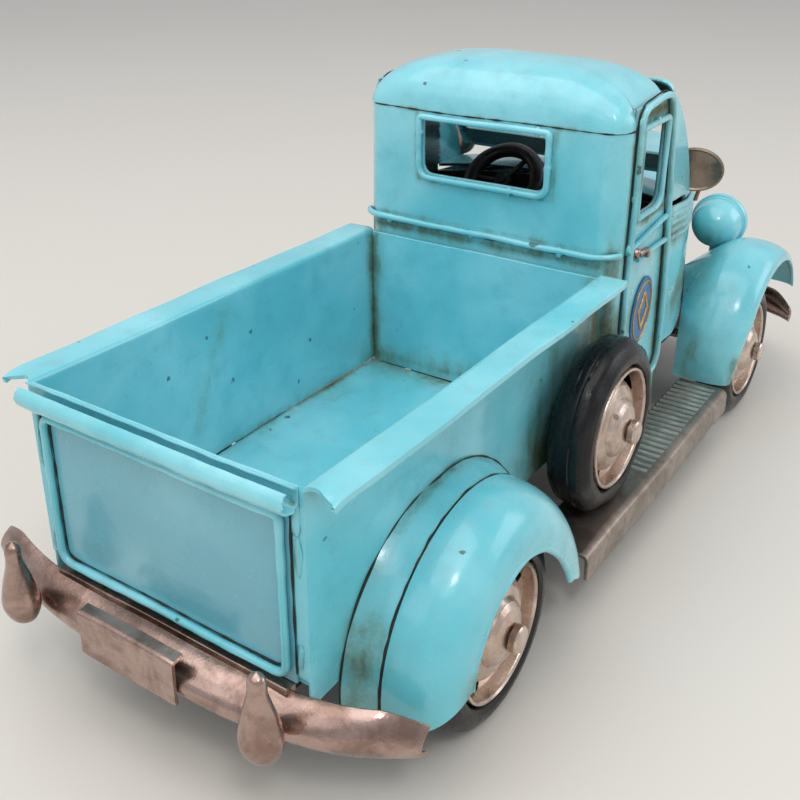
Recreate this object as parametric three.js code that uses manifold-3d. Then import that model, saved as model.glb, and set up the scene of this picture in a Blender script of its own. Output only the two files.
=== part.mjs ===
// Handmade tin pickup truck with an open bed, in millimetres.
// X runs forward, Y to the truck's left, Z up. Stations (x) are counted from the tailgate plane,
// and the whole truck is moved back at the end so that the origin is under its middle.
import * as THREE from 'three';
import { mergeVertices } from 'three/addons/utils/BufferGeometryUtils.js';
import Module from 'manifold-3d';

const wasm = await Module();
wasm.setup();

// ---------------------------------------------------------------- driving dimensions
const gap = 0.3;                  // clearance between soldered or touching pieces
const tin = 1.0;                  // thickness of the tin sheet
const wire = 1.0;                 // radius of the trim wire

const wheelRadius = 26.1;
const rearAxleX = 50;
const frontAxleX = 248;
const tyreOuterY = 61.5;          // outer side wall of a road tyre
const tyreWidth = 13.5;
const rimRadius = 18.6;
const axleRadius = 2;
const axleEndY = 66.3;

const bedLength = 140.4;
const bedHalfWidth = 40.7;        // inside face of a bed side
const railHalfWidth = 50.3;
const railTop = 86.6;
const bedFloorTop = 37.6;
const rollRadius = 2.6;           // rolled top edge of the tailgate

const cabBackX = 141.4;
const cabHalfWidth = 45.2;
const cabCorner = 8;
const seamZ = 128.2;              // seam between roof and back panel
const beltZ = 91.4;
const cabBottomZ = 38.4;
const roofTopZ = 144.6;
const roofFrontX = 181.5;
const doorTopZ = 134.4;
const doorFrontX = 186.5;
const sillZ = 22.3;
const cowlTopZ = 97;
const screenBaseX = 203;

const noseX = 276;                // front end of the hood
const noseHalfWidth = 21;
const noseTopZ = 90;

const boardTop = 21.2;            // running board
const boardOuterY = 62.5;
const boardRearX = 94.6;
const boardFrontX = 216.6;

const spareX = 124;
const middleX = 150;              // station under which the origin lies

// ---------------------------------------------------------------- colours
const paints = {
  turquoise: new THREE.MeshStandardMaterial({ color: 0x5fc4cc, roughness: 0.35, metalness: 0.1 }),
  champagne: new THREE.MeshStandardMaterial({ color: 0xb89a8e, roughness: 0.4, metalness: 0.8 }),
  tyre: new THREE.MeshStandardMaterial({ color: 0x1c1b1f, roughness: 0.5, metalness: 0 }),
  mat: new THREE.MeshStandardMaterial({ color: 0x7d9a96, roughness: 0.5, metalness: 0.2 }),
  black: new THREE.MeshStandardMaterial({ color: 0x121214, roughness: 0.5, metalness: 0 }),
  brown: new THREE.MeshStandardMaterial({ color: 0x3c2a20, roughness: 0.7, metalness: 0 }),
  iron: new THREE.MeshStandardMaterial({ color: 0x4a4542, roughness: 0.6, metalness: 0.7 }),
};

const truck = new THREE.Group();
truck.position.x = -middleX;

function addPiece(name, geometry, paint) {
  const piece = new THREE.Mesh(geometry, paint);
  piece.name = name;
  truck.add(piece);
}

// A left piece and its mirror image on the right.
function addPair(name, leftGeometry, paint) {
  addPiece(`${name}_left`, leftGeometry, paint);
  addPiece(`${name}_right`, mirrored(leftGeometry), paint);
}

// ---------------------------------------------------------------- geometry helpers
function plain(geometry) {
  const bare = geometry.clone();
  bare.deleteAttribute('normal');
  bare.deleteAttribute('uv');
  return mergeVertices(bare, 1e-4);
}

function mirrored(geometry) {
  const copy = plain(geometry);
  copy.scale(1, -1, 1);
  const order = copy.index.array;
  for (let i = 0; i < order.length; i += 3) {
    const first = order[i];
    order[i] = order[i + 1];
    order[i + 1] = first;
  }
  return copy;
}

function solidOf(geometry) {
  const bare = plain(geometry);
  const vertProperties = new Float32Array(bare.attributes.position.array);
  const triVerts = new Uint32Array(bare.index.array);
  return new wasm.Manifold(new wasm.Mesh({ numProp: 3, vertProperties, triVerts }));
}

function geometryOf(solid) {
  const mesh = solid.getMesh();
  const geometry = new THREE.BufferGeometry();
  geometry.setAttribute('position', new THREE.BufferAttribute(mesh.vertProperties, 3));
  geometry.setIndex(new THREE.BufferAttribute(mesh.triVerts, 1));
  return geometry;
}

function cut(geometry, ...tools) {
  let solid = solidOf(geometry);
  for (const tool of tools) {
    solid = solid.subtract(solidOf(tool));
  }
  return geometryOf(solid);
}

function joined(...geometries) {
  let solid = solidOf(geometries[0]);
  for (const geometry of geometries.slice(1)) {
    solid = solid.add(solidOf(geometry));
  }
  return geometryOf(solid);
}

function outline(points) {
  return new THREE.Shape(points.map(([a, b]) => new THREE.Vector2(a, b)));
}

// Straight extrusions of a flat outline: (x, z) along Y, (y, z) along X and (x, y) along Z.
function alongY(shape, y0, y1, curveSegments = 6) {
  const geometry = new THREE.ExtrudeGeometry(shape, { depth: y1 - y0, bevelEnabled: false, curveSegments });
  return geometry.rotateX(Math.PI / 2).translate(0, y1, 0);
}

function alongX(shape, x0, x1, curveSegments = 6) {
  const geometry = new THREE.ExtrudeGeometry(shape, { depth: x1 - x0, bevelEnabled: false, curveSegments });
  const axes = new THREE.Matrix4().makeBasis(
    new THREE.Vector3(0, 1, 0), new THREE.Vector3(0, 0, 1), new THREE.Vector3(1, 0, 0));
  return geometry.applyMatrix4(axes).translate(x0, 0, 0);
}

function alongZ(shape, z0, z1, curveSegments = 6) {
  const geometry = new THREE.ExtrudeGeometry(shape, { depth: z1 - z0, bevelEnabled: false, curveSegments });
  return geometry.translate(0, 0, z0);
}

function block(x0, x1, y0, y1, z0, z1) {
  const geometry = new THREE.BoxGeometry(x1 - x0, y1 - y0, z1 - z0);
  return geometry.translate((x0 + x1) / 2, (y0 + y1) / 2, (z0 + z1) / 2);
}

// A bent strip: the line and the same line moved sideways by the sheet's thickness.
function bentStrip(line, thickness) {
  const offset = line.map(([a, b], i) => {
    const [a0, b0] = line[Math.max(i - 1, 0)];
    const [a1, b1] = line[Math.min(i + 1, line.length - 1)];
    const length = Math.hypot(a1 - a0, b1 - b0);
    return [a + thickness * (b1 - b0) / length, b - thickness * (a1 - a0) / length];
  });
  return outline([...line, ...offset.reverse()]);
}

// A wire bent along a route of points, in a round section of a few sides.
function bentWire(route, radius, steps, sides = 6) {
  const path = new THREE.CatmullRomCurve3(route.map((p) => new THREE.Vector3(...p)), false, 'centripetal');
  const section = new THREE.Shape();
  for (let i = 0; i < sides; i += 1) {
    const angle = (2 * Math.PI * i) / sides;
    const point = [radius * Math.cos(angle), radius * Math.sin(angle)];
    if (i === 0) section.moveTo(...point);
    else section.lineTo(...point);
  }
  return new THREE.ExtrudeGeometry(section, { steps, extrudePath: path, bevelEnabled: false });
}

// A rectangle with its own radius at each corner: lower left, lower right, upper right, upper left.
function roundedRectangle(a0, a1, b0, b1, radii, target = new THREE.Shape()) {
  const [lowLeft, lowRight, upRight, upLeft] = radii;
  target.moveTo(a0 + lowLeft, b0);
  target.lineTo(a1 - lowRight, b0);
  target.quadraticCurveTo(a1, b0, a1, b0 + lowRight);
  target.lineTo(a1, b1 - upRight);
  target.quadraticCurveTo(a1, b1, a1 - upRight, b1);
  target.lineTo(a0 + upLeft, b1);
  target.quadraticCurveTo(a0, b1, a0, b1 - upLeft);
  target.lineTo(a0, b0 + lowLeft);
  target.quadraticCurveTo(a0, b0, a0 + lowLeft, b0);
  return target;
}

// A closed loop of wire around a rectangle: a thin frame whose bevels make the section an octagon.
function wireLoop(a0, a1, b0, b1, radii, radius) {
  const flat = radius * Math.tan(Math.PI / 8);
  const bevel = radius - flat;
  const grow = radii.map((r) => r + flat);
  const shrink = radii.map((r) => Math.max(r - flat, 0.2));
  const frame = roundedRectangle(a0 - flat, a1 + flat, b0 - flat, b1 + flat, grow);
  frame.holes.push(roundedRectangle(a0 + flat, a1 - flat, b0 + flat, b1 - flat, shrink, new THREE.Path()));
  const options = { depth: 2 * flat, bevelEnabled: true, bevelThickness: bevel, bevelSize: bevel,
    bevelSegments: 1, curveSegments: 3 };
  return new THREE.ExtrudeGeometry(frame, options).translate(0, 0, -flat);
}

function facingX(geometry, x) {
  const axes = new THREE.Matrix4().makeBasis(
    new THREE.Vector3(0, 1, 0), new THREE.Vector3(0, 0, 1), new THREE.Vector3(1, 0, 0));
  return geometry.applyMatrix4(axes).translate(x, 0, 0);
}

function facingY(geometry, y) {
  return geometry.rotateX(Math.PI / 2).translate(0, y, 0);
}

// A pressed sheet: a grid of points on the outer face, the same grid moved inwards by the
// thickness, and the four edges joined. surface(u, v) gives a point for u and v from 0 to 1, and
// the outer face is on the side of (direction of u) x (direction of v).
function pressedSheet(surface, columns, rows, thickness = tin) {
  const positions = [];
  const inner = [];
  const small = 1e-3;
  const share = (value) => THREE.MathUtils.clamp(value, 0, 1);
  const at = (u, v) => new THREE.Vector3(...surface(share(u), share(v)));
  for (let i = 0; i <= columns; i += 1) {
    for (let j = 0; j <= rows; j += 1) {
      const u = i / columns;
      const v = j / rows;
      const point = at(u, v);
      const alongU = at(u + small, v).sub(at(u - small, v));
      const alongV = at(u, v + small).sub(at(u, v - small));
      const normal = alongU.cross(alongV).normalize();
      positions.push(point.x, point.y, point.z);
      const below = point.clone().addScaledVector(normal, -thickness);
      inner.push(below.x, below.y, below.z);
    }
  }
  const stride = rows + 1;
  const count = (columns + 1) * stride;
  const faces = [];
  const quad = (a, b, c, d) => faces.push(a, b, c, a, c, d);
  for (let i = 0; i < columns; i += 1) {
    for (let j = 0; j < rows; j += 1) {
      const a = i * stride + j;
      const b = a + stride;
      quad(a, b, b + 1, a + 1);
      quad(count + a, count + a + 1, count + b + 1, count + b);
    }
  }
  for (let i = 0; i < columns; i += 1) {
    const a = i * stride;
    const b = a + stride;
    quad(a, count + a, count + b, b);
    quad(a + rows, b + rows, count + b + rows, count + a + rows);
  }
  for (let j = 0; j < rows; j += 1) {
    const last = columns * stride;
    quad(j, j + 1, count + j + 1, count + j);
    quad(last + j, count + last + j, count + last + j + 1, last + j + 1);
  }
  const geometry = new THREE.BufferGeometry();
  geometry.setAttribute('position', new THREE.Float32BufferAttribute([...positions, ...inner], 3));
  geometry.setIndex(faces);
  return geometry;
}

const rad = THREE.MathUtils.degToRad;
const lerp = THREE.MathUtils.lerp;

// ---------------------------------------------------------------- chassis and axles
const panHalfWidth = 28;
const panTop = 34.8;
const panBottom = 21.5;
const panRearX = 4;
const panFrontX = 300;

function chassisPan() {
  const channel = outline([
    [-panHalfWidth, panBottom], [-panHalfWidth, panTop], [panHalfWidth, panTop], [panHalfWidth, panBottom],
    [panHalfWidth - 1.6, panBottom], [panHalfWidth - 1.6, panTop - 1.6],
    [-panHalfWidth + 1.6, panTop - 1.6], [-panHalfWidth + 1.6, panBottom],
  ]);
  const holes = [rearAxleX, frontAxleX].map((x) => (
    new THREE.CylinderGeometry(axleRadius + 0.25, axleRadius + 0.25, 80, 16).translate(x, 0, wheelRadius)));
  return cut(alongX(channel, panRearX, panFrontX), ...holes);
}
addPiece('chassis_pan', chassisPan(), paints.iron);

// Axle rod with a flat riveted head outside each wheel.
const headRadius = 3.6;
const headThickness = 2.2;
function axle(x) {
  const half = [[0, -axleEndY], [headRadius - 0.5, -axleEndY], [headRadius, -axleEndY + 0.5],
    [headRadius, -axleEndY + headThickness], [axleRadius, -axleEndY + headThickness]];
  const profile = [...half, ...half.map(([r, y]) => [r, -y]).reverse()];
  const points = profile.map(([r, y]) => new THREE.Vector2(r, y));
  return new THREE.LatheGeometry(points, 12).translate(x, 0, wheelRadius);
}
addPiece('rear_axle', axle(rearAxleX), paints.champagne);
addPiece('front_axle', axle(frontAxleX), paints.champagne);

// ---------------------------------------------------------------- wheels
// Profiles are (radius, distance inboard of the tyre's outer side wall).
const tyreProfile = [[rimRadius, 1], [21, 0], [24, 1.2], [wheelRadius, 4.6], [wheelRadius, 8.9],
  [24, 12.3], [21, tyreWidth], [rimRadius, 12.5]];
const wheelProfile = [[2.4, -2], [5, -1.6], [8, 1.6], [12, 3], [13.2, 4.4], [17, 4.4],
  [18.3, 0.8], [18.3, 11.5], [17.2, 11.5], [17.2, 6], [2.4, 6]];

function turned(profile, outerY, segments = 18) {
  const points = [...profile, profile[0]].map(([r, inboard]) => new THREE.Vector2(r, outerY - inboard));
  return new THREE.LatheGeometry(points.reverse(), segments);
}

// Four curved slots are punched through the dished disc near its rim.
const slotCount = 4;
const slotSpan = rad(56);
function punchedWheel(outerY) {
  const slots = [];
  for (let i = 0; i < slotCount; i += 1) {
    const middle = rad(45) + (i * 2 * Math.PI) / slotCount;
    const slot = new THREE.Shape();
    slot.absarc(0, 0, 16.4, middle - slotSpan / 2, middle + slotSpan / 2, false);
    slot.absarc(0, 0, 13.8, middle + slotSpan / 2, middle - slotSpan / 2, true);
    slots.push(alongY(slot, outerY - 8, outerY, 3));
  }
  return cut(turned(wheelProfile, outerY), ...slots);
}

const tyreGeometry = turned(tyreProfile, tyreOuterY);
const wheelGeometry = punchedWheel(tyreOuterY);
for (const [place, x] of [['rear', rearAxleX], ['front', frontAxleX]]) {
  const tyre = tyreGeometry.clone().translate(x, 0, wheelRadius);
  const wheel = wheelGeometry.clone().translate(x, 0, wheelRadius);
  addPair(`${place}_tyre`, tyre, paints.tyre);
  addPair(`${place}_wheel`, wheel, paints.champagne);
}

// ---------------------------------------------------------------- bed
// Each side sheet has a wide rail on top and a narrow flange folded in beside the tailgate.
const tailgateHalfWidth = 38;
addPiece('bed_floor', block(tin + gap + 0.2, bedLength - tin - gap, -bedHalfWidth + gap, bedHalfWidth - gap,
  bedFloorTop - 1.4, bedFloorTop), paints.turquoise);

function bedSide() {
  const face = bedHalfWidth;
  const line = [[face, cabBottomZ], [face, railTop - 3.4], [face + 0.8, railTop - 1.2],
    [face + 2.6, railTop - 0.1], [railHalfWidth - 1, railTop], [railHalfWidth, railTop - 0.9],
    [railHalfWidth, railTop - 2.6]];
  const flange = block(0.2, 0.2 + tin, tailgateHalfWidth + gap, face + tin / 2, cabBottomZ, railTop - 5.6);
  return joined(alongX(bentStrip(line, tin), 0.2, bedLength), flange);
}
addPair('bed_side', bedSide(), paints.turquoise);

addPiece('bed_front_wall', block(bedLength - tin, bedLength, -bedHalfWidth + gap, bedHalfWidth - gap,
  bedFloorTop + gap, railTop - 1), paints.turquoise);

// Tailgate sheet; its wider upper strip stands behind a tube rolled along the top.
function tailgate() {
  const topWidth = bedHalfWidth - gap;
  const rollX = -2.2;
  const rollZ = railTop - 2.6;
  const bite = Math.acos(-rollX / rollRadius);
  const upper = new THREE.Shape();
  upper.moveTo(tin, rollZ - 2.6);
  upper.lineTo(tin, railTop - 0.2);
  upper.lineTo(0, railTop - 0.2);
  upper.absarc(rollX, rollZ, rollRadius, bite, 2 * Math.PI - bite, false);
  upper.lineTo(0, rollZ - 2.6);
  const panel = block(0, tin, -tailgateHalfWidth, tailgateHalfWidth, bedFloorTop - 1.2, rollZ - 2);
  return joined(panel, alongY(upper, -topWidth, topWidth, 6));
}
addPiece('tailgate', tailgate(), paints.turquoise);
addPiece('tailgate_wire_frame',
  facingX(wireLoop(-36.1, 36.1, 38.4, 78.8, [4, 4, 3, 1], wire), -wire - gap), paints.turquoise);

// ---------------------------------------------------------------- cab shell
// The back panel turns both rear corners and ends behind the doors.
const cornerEndX = cabBackX + cabCorner;
function cabBack() {
  const inside = cabCorner - tin;
  const y = cabHalfWidth;
  const plan = new THREE.Shape();
  plan.moveTo(cornerEndX, y - tin);
  plan.lineTo(cornerEndX, y);
  plan.absarc(cornerEndX, y - cabCorner, cabCorner, rad(90), rad(180), false);
  plan.absarc(cornerEndX, -y + cabCorner, cabCorner, rad(180), rad(270), false);
  plan.lineTo(cornerEndX, -y + tin);
  plan.absarc(cornerEndX, -y + cabCorner, inside, rad(270), rad(180), true);
  plan.absarc(cornerEndX, y - cabCorner, inside, rad(180), rad(90), true);
  const window = roundedRectangle(-21.4, 21.4, 108.4, 126.2, [3, 3, 0.5, 0.5]);
  return cut(alongZ(plan, cabBottomZ, seamZ, 5), alongX(window, cabBackX - 5, cabBackX + 5, 3));
}
addPiece('cab_back_panel', cabBack(), paints.turquoise);

addPiece('rear_window_wire',
  facingX(wireLoop(-22.6, 22.6, 107.2, 126.6, [4, 4, 0.6, 0.6], wire), cabBackX - wire - gap),
  paints.turquoise);

// Belt wire across the back panel and round its corners.
function beltWire() {
  const half = [];
  const reach = cabCorner + wire + gap;
  for (const angle of [118, 130, 142, 154, 166, 178]) {
    const x = cornerEndX + reach * Math.cos(rad(angle));
    half.push([x, cabHalfWidth - cabCorner + reach * Math.sin(rad(angle)), beltZ]);
  }
  half.push([cabBackX - wire - gap, 30, beltZ]);
  half.push([cabBackX - wire - gap, 12, beltZ]);
  const route = [...half, ...half.map(([x, y, z]) => [x, -y, z]).reverse()];
  return bentWire(route, wire, 24);
}
addPiece('cab_belt_wire', beltWire(), paints.turquoise);

// Domed roof: a rounded box lid, longer sides flat, cut away above the doors and the windscreen.
const roofMiddleX = 166;           // station of the highest point
function power(value, exponent) {
  return Math.sign(value) * Math.abs(value) ** exponent;
}
function roofPoint(u, v) {
  const around = 2 * Math.PI * u;
  const up = (Math.PI / 2) * v;
  const spread = power(Math.cos(up), 0.76);
  const rise = power(Math.sin(up), 0.82);
  const reach = Math.cos(around) > 0 ? roofFrontX - roofMiddleX : roofMiddleX - cabBackX;
  return [
    roofMiddleX + reach * power(Math.cos(around), 0.42) * spread,
    cabHalfWidth * power(Math.sin(around), 0.3) * spread,
    seamZ + gap + (roofTopZ - seamZ - gap) * rise,
  ];
}
function roofDome(inset) {
  const rings = 5;
  const around = 24;
  const positions = [];
  const faces = [];
  const shrinkX = 1 - inset / (roofFrontX - roofMiddleX);
  const shrinkY = 1 - inset / cabHalfWidth;
  const shrinkZ = 1 - inset / (roofTopZ - seamZ);
  const base = seamZ + gap;
  const drop = inset > 0 ? -2 : 0;
  for (let j = 0; j < rings; j += 1) {
    for (let i = 0; i < around; i += 1) {
      const [x, y, z] = roofPoint(i / around, (j / rings) ** 0.9);
      const height = base + (z - base) * shrinkZ + (j ? 0 : drop);
      positions.push(roofMiddleX + (x - roofMiddleX) * shrinkX, y * shrinkY, height);
    }
  }
  positions.push(roofMiddleX, 0, base + (roofTopZ - base) * shrinkZ);
  positions.push(roofMiddleX, 0, base + drop);
  const top = rings * around;
  for (let i = 0; i < around; i += 1) {
    const next = (i + 1) % around;
    for (let j = 0; j < rings - 1; j += 1) {
      const a = j * around;
      faces.push(a + i, a + next, a + around + next, a + i, a + around + next, a + around + i);
    }
    faces.push(top - around + i, top - around + next, top);
    faces.push(next, i, top + 1);
  }
  const geometry = new THREE.BufferGeometry();
  geometry.setAttribute('position', new THREE.Float32BufferAttribute(positions, 3));
  geometry.setIndex(faces);
  return geometry;
}
const roofCut = block(cornerEndX + gap, roofFrontX + 20, -60, 60, seamZ - 10, doorTopZ - 0.4);
addPiece('cab_roof', cut(roofDome(0), roofDome(tin), roofCut), paints.turquoise);

// Cab side: door skin, sill and the quarter beside the windscreen in one sheet with a window.
const windowLow = 101.4;
const windowHigh = 127.6;
const windowRear = 153.6;
const windowFront = 173;
function cabSide() {
  const shape = new THREE.Shape();
  shape.moveTo(cornerEndX + gap, sillZ);
  shape.lineTo(doorFrontX, sillZ);
  shape.lineTo(doorFrontX, cowlTopZ + 1);
  shape.lineTo(screenBaseX, cowlTopZ + 1);
  shape.quadraticCurveTo(197.5, 122, 179, doorTopZ);
  shape.lineTo(cornerEndX + gap, doorTopZ);
  const corners = [0.6, 5, 1, 0.6];
  const opening = roundedRectangle(windowRear, windowFront, windowLow, windowHigh, corners, new THREE.Path());
  shape.holes.push(opening);
  return alongY(shape, cabHalfWidth - tin, cabHalfWidth, 4);
}
addPair('cab_side', cabSide(), paints.turquoise);

// Door outline wire: up the rear pillar, over the door and down its front edge, back at the foot.
const wireY = cabHalfWidth + wire + gap;
function doorOutlineWire() {
  const x0 = cornerEndX + 1.4;
  const route = [[x0, wireY, 40], [x0, wireY, 60], [x0, wireY, 84], [x0, wireY, 108], [x0, wireY, 126],
    [x0 + 0.6, wireY, 131], [x0 + 3.6, wireY, 133.8], [160, wireY, 134.6], [168, wireY, 135.2],
    [173.2, wireY, 134.4], [175.9, wireY, 130.6], [177.6, wireY, 124], [180, wireY, 110],
    [182.2, wireY, 96],
    [183.6, wireY, 84], [184.6, wireY, 64], [184.9, wireY, 48], [183.9, wireY, 43.4], [180.4, wireY, 40.8],
    [172, wireY, 40.2], [162, wireY, 40]];
  return bentWire(route, wire, 34);
}
addPair('door_outline_wire', doorOutlineWire(), paints.turquoise);

// Window wire inside the door outline, square at the back and round at the lower front corner.
addPair('door_window_wire',
  facingY(wireLoop(windowRear - 0.6, windowFront + 0.6, windowLow - 0.6, windowHigh + 0.6,
    [1, 5.6, 1.4, 1], 0.9), cabHalfWidth + 0.9 + gap), paints.turquoise);

// Door handle: a round boss with a short lever turned down at its end.
function doorHandle() {
  const y = cabHalfWidth + gap;
  const boss = new THREE.CylinderGeometry(1.5, 1.7, 2.2, 10).translate(155.4, y + 1.1, beltZ - 1.6);
  const lever = block(154.6, 162.4, y + 1.4, y + 3, beltZ - 2.6, beltZ - 0.8);
  return joined(boss, lever);
}
addPair('door_handle', doorHandle(), paints.champagne);

// ---------------------------------------------------------------- cowl, windscreen and cabin
const cowlCrown = 4;
addPiece('cowl', pressedSheet((u, v) => {
  const y = lerp(cabHalfWidth - tin - gap, -cabHalfWidth + tin + gap, v);
  return [lerp(doorFrontX + gap, screenBaseX, u), y, cowlTopZ + cowlCrown * (1 - (y / cabHalfWidth) ** 2)];
}, 2, 10), paints.turquoise);

const screenLean = rad(29.3);      // from upright, top towards the back
function windscreenFrame() {
  const halfWidth = cabHalfWidth - tin - gap - 1.2;
  const height = 38.6;
  const frame = roundedRectangle(-halfWidth, halfWidth, 0, height, [2, 2, 5, 5]);
  const inner = halfWidth - 3;
  frame.holes.push(roundedRectangle(-inner, inner, 3, height - 3, [2, 2, 4, 4], new THREE.Path()));
  const flat = new THREE.ExtrudeGeometry(frame, { depth: 1.4, bevelEnabled: false, curveSegments: 3 });
  const upright = facingX(flat, 0).rotateY(-screenLean);
  return upright.translate(screenBaseX - 2.4, 0, cowlTopZ + 5.4);
}
addPiece('windscreen_frame', windscreenFrame(), paints.turquoise);

const steerCentre = [175.6, 11, 99];
const steerLean = rad(42);        // the column rises towards the driver at this angle
const columnRadius = 0.9;
function onColumn(geometry) {
  return geometry.rotateY(-Math.PI / 2 + steerLean).translate(...steerCentre);
}

function dashboard() {
  const half = cabHalfWidth - tin - gap;
  const shape = new THREE.Shape();
  shape.moveTo(-half, 76);
  shape.lineTo(half, 76);
  shape.lineTo(half, cowlTopZ - 1);
  shape.quadraticCurveTo(0, cowlTopZ - 1 + 2 * cowlCrown, -half, cowlTopZ - 1);
  const boreRadius = columnRadius + gap;
  const bore = new THREE.CylinderGeometry(boreRadius, boreRadius, 60, 12).rotateX(Math.PI / 2);
  return cut(alongX(shape, doorFrontX - 1.4, doorFrontX, 5), onColumn(bore));
}
addPiece('dashboard', dashboard(), paints.black);

addPiece('cab_floor', block(cabBackX + tin + gap + 3, doorFrontX, -cabHalfWidth + tin + gap + 4.6,
  cabHalfWidth - tin - gap - 4.6, 35.4, 36.8), paints.iron);

function benchSeat() {
  const shape = outline([[146, 37.2], [168, 37.2], [168, 59], [165.6, 61], [152, 60], [149.4, 92],
    [146, 92]]);
  return alongY(shape, -36, 36);
}
addPiece('bench_seat', benchSeat(), paints.brown);

const steerRing = 12.4;
const steerTube = 2.5;
function steeringWheel() {
  const ring = new THREE.TorusGeometry(steerRing, steerTube, 6, 18);
  const hub = new THREE.CylinderGeometry(2.8, 2.8, 3, 12).rotateX(Math.PI / 2);
  const spokes = [90, 210, 330].map((angle) => {
    const spoke = new THREE.BoxGeometry(steerRing, 1.8, 1.6).translate(steerRing / 2, 0, 0);
    return spoke.rotateZ(rad(angle));
  });
  const boreRadius = columnRadius + gap;
  const bore = new THREE.CylinderGeometry(boreRadius, boreRadius, 10, 12).rotateX(Math.PI / 2);
  const wheel = cut(joined(ring, hub, ...spokes), bore);
  return onColumn(wheel);
}
addPiece('steering_wheel', steeringWheel(), paints.black);

function steeringColumn() {
  const length = 46;
  const rod = new THREE.CylinderGeometry(columnRadius, columnRadius, length, 10).rotateX(Math.PI / 2);
  const collar = new THREE.CylinderGeometry(2, 2, 1, 12).rotateX(Math.PI / 2).translate(0, 0, -2.5);
  const cap = new THREE.CylinderGeometry(2, 2, 0.8, 12).rotateX(Math.PI / 2).translate(0, 0, 2.6);
  return onColumn(joined(rod.translate(0, 0, -length / 2 + 3), collar, cap));
}
addPiece('steering_column', steeringColumn(), paints.black);

// ---------------------------------------------------------------- hood and front end
// Half width of the body ahead of the cab, tapering to the nose.
function bodyHalfWidth(x) {
  const run = Math.max(0, (x - screenBaseX) / (noseX - screenBaseX));
  return lerp(cabHalfWidth - tin - gap, noseHalfWidth, run ** 1.25);
}
function shoulderZ(x) {
  return lerp(cowlTopZ - 1, noseTopZ, (x - doorFrontX) / (noseX - doorFrontX));
}

// Moves every point of a geometry by a rule, such as the taper of the hood.
function reshaped(geometry, rule) {
  const position = geometry.attributes.position;
  const point = new THREE.Vector3();
  for (let i = 0; i < position.count; i += 1) {
    point.fromBufferAttribute(position, i);
    position.setXYZ(i, ...rule(point.x, point.y, point.z));
  }
  return geometry;
}

// Hood side with four long louvre steps under the shoulder. Its section is drawn as (distance out
// from the body line, height from the shoulder) and carried forward along the taper.
const louvreSteps = 4;
const louvrePitch = 2.7;
const hoodSideHeight = 50;
function hoodSide() {
  const steps = [];
  for (let i = 0; i < louvreSteps; i += 1) {
    const head = -0.8 - louvrePitch * i;
    steps.push([0, head], [1.1, head - louvrePitch + 0.5], [0, head - louvrePitch + 0.4]);
  }
  const line = [[-0.9, -hoodSideHeight], [-0.9, -0.8], ...steps, [0, -hoodSideHeight]];
  const section = outline(line.reverse());
  const strip = new THREE.ExtrudeGeometry(section, { depth: 1, steps: 6, bevelEnabled: false });
  const start = doorFrontX + gap;
  return reshaped(facingX(strip, 0), (run, out, rise) => {
    const x = lerp(start, noseX, run);
    return [x, bodyHalfWidth(x) + out, shoulderZ(x) + rise];
  });
}
addPair('hood_side', hoodSide(), paints.turquoise);

// Hood top: crowned across, more so towards the nose.
function hoodTopPoint(u, v) {
  const x = lerp(screenBaseX + gap, noseX, u);
  const half = bodyHalfWidth(x);
  const across = lerp(1, -1, v);
  const crown = lerp(5.5, 9, u);
  return [x, half * across, shoulderZ(x) + gap + crown * (1 - Math.abs(across) ** 2.4)];
}
addPiece('hood_top', pressedSheet(hoodTopPoint, 8, 14), paints.turquoise);

// Radiator shell: a rounded upright plate with a barred opening pressed into it.
function grille() {
  const half = noseHalfWidth + 0.8;
  const shell = roundedRectangle(-half, half, 40, noseTopZ + 8, [6, 6, 16, 16]);
  const barCount = 5;
  for (let i = 0; i < barCount; i += 1) {
    const y = (i - (barCount - 1) / 2) * 6;
    const top = noseTopZ + 1 - 0.035 * y * y;
    shell.holes.push(roundedRectangle(y - 2, y + 2, 47, top, [1, 1, 1, 1], new THREE.Path()));
  }
  return alongX(shell, noseX + gap, noseX + 3.6, 2);
}
addPiece('grille', grille(), paints.champagne);

// Headlight: a ball-backed bowl with a rim and a domed lens, on a short stalk.
const lampX = 279;
const lampY = 34;
const lampZ = 65.4;
const lampRadius = 10;
function headlight() {
  const profile = [[0, -11]];
  for (const angle of [-70, -50, -30, -12]) {
    profile.push([lampRadius * Math.cos(rad(angle)), 11 * Math.sin(rad(angle))]);
  }
  profile.push([lampRadius, 1], [lampRadius + 0.9, 1.2], [lampRadius + 0.9, 3.4], [7.5, 5.2], [0, 6.4]);
  const points = profile.map(([r, forward]) => new THREE.Vector2(r, forward));
  const bowl = new THREE.LatheGeometry(points, 20).rotateZ(-Math.PI / 2);
  const stalk = new THREE.CylinderGeometry(2, 2, 4, 8).rotateX(Math.PI / 2);
  stalk.translate(0, 0, -lampRadius + 0.4);
  return joined(bowl, stalk).translate(lampX, lampY, lampZ);
}
addPair('headlight', headlight(), paints.turquoise);

// ---------------------------------------------------------------- fenders
// A fender is drawn in polar form about its axle: angle from straight ahead (0) through the top
// (90) to the back (180). Across it, the sheet runs from the inner edge to the crest and then
// rolls over to the outer edge as part of a superellipse.
function crownedSection(inner, crest, outer, crestRadius, edgeRadius, drop, across) {
  const innerShare = 0.34;
  if (across < innerShare) {
    const y = lerp(inner, crest, across / innerShare);
    return [y, crestRadius - drop * ((crest - y) / (crest - inner)) ** 1.6];
  }
  const turn = (Math.PI / 2) * ((across - innerShare) / (1 - innerShare));
  const roundness = 0.85;
  return [
    crest + (outer - crest) * Math.sin(turn) ** roundness,
    edgeRadius + (crestRadius - edgeRadius) * Math.abs(Math.cos(turn)) ** roundness,
  ];
}

function polar(axleX, angle, radius, y) {
  return [axleX + radius * Math.cos(rad(angle)), y, wheelRadius + radius * Math.sin(rad(angle))];
}

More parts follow.
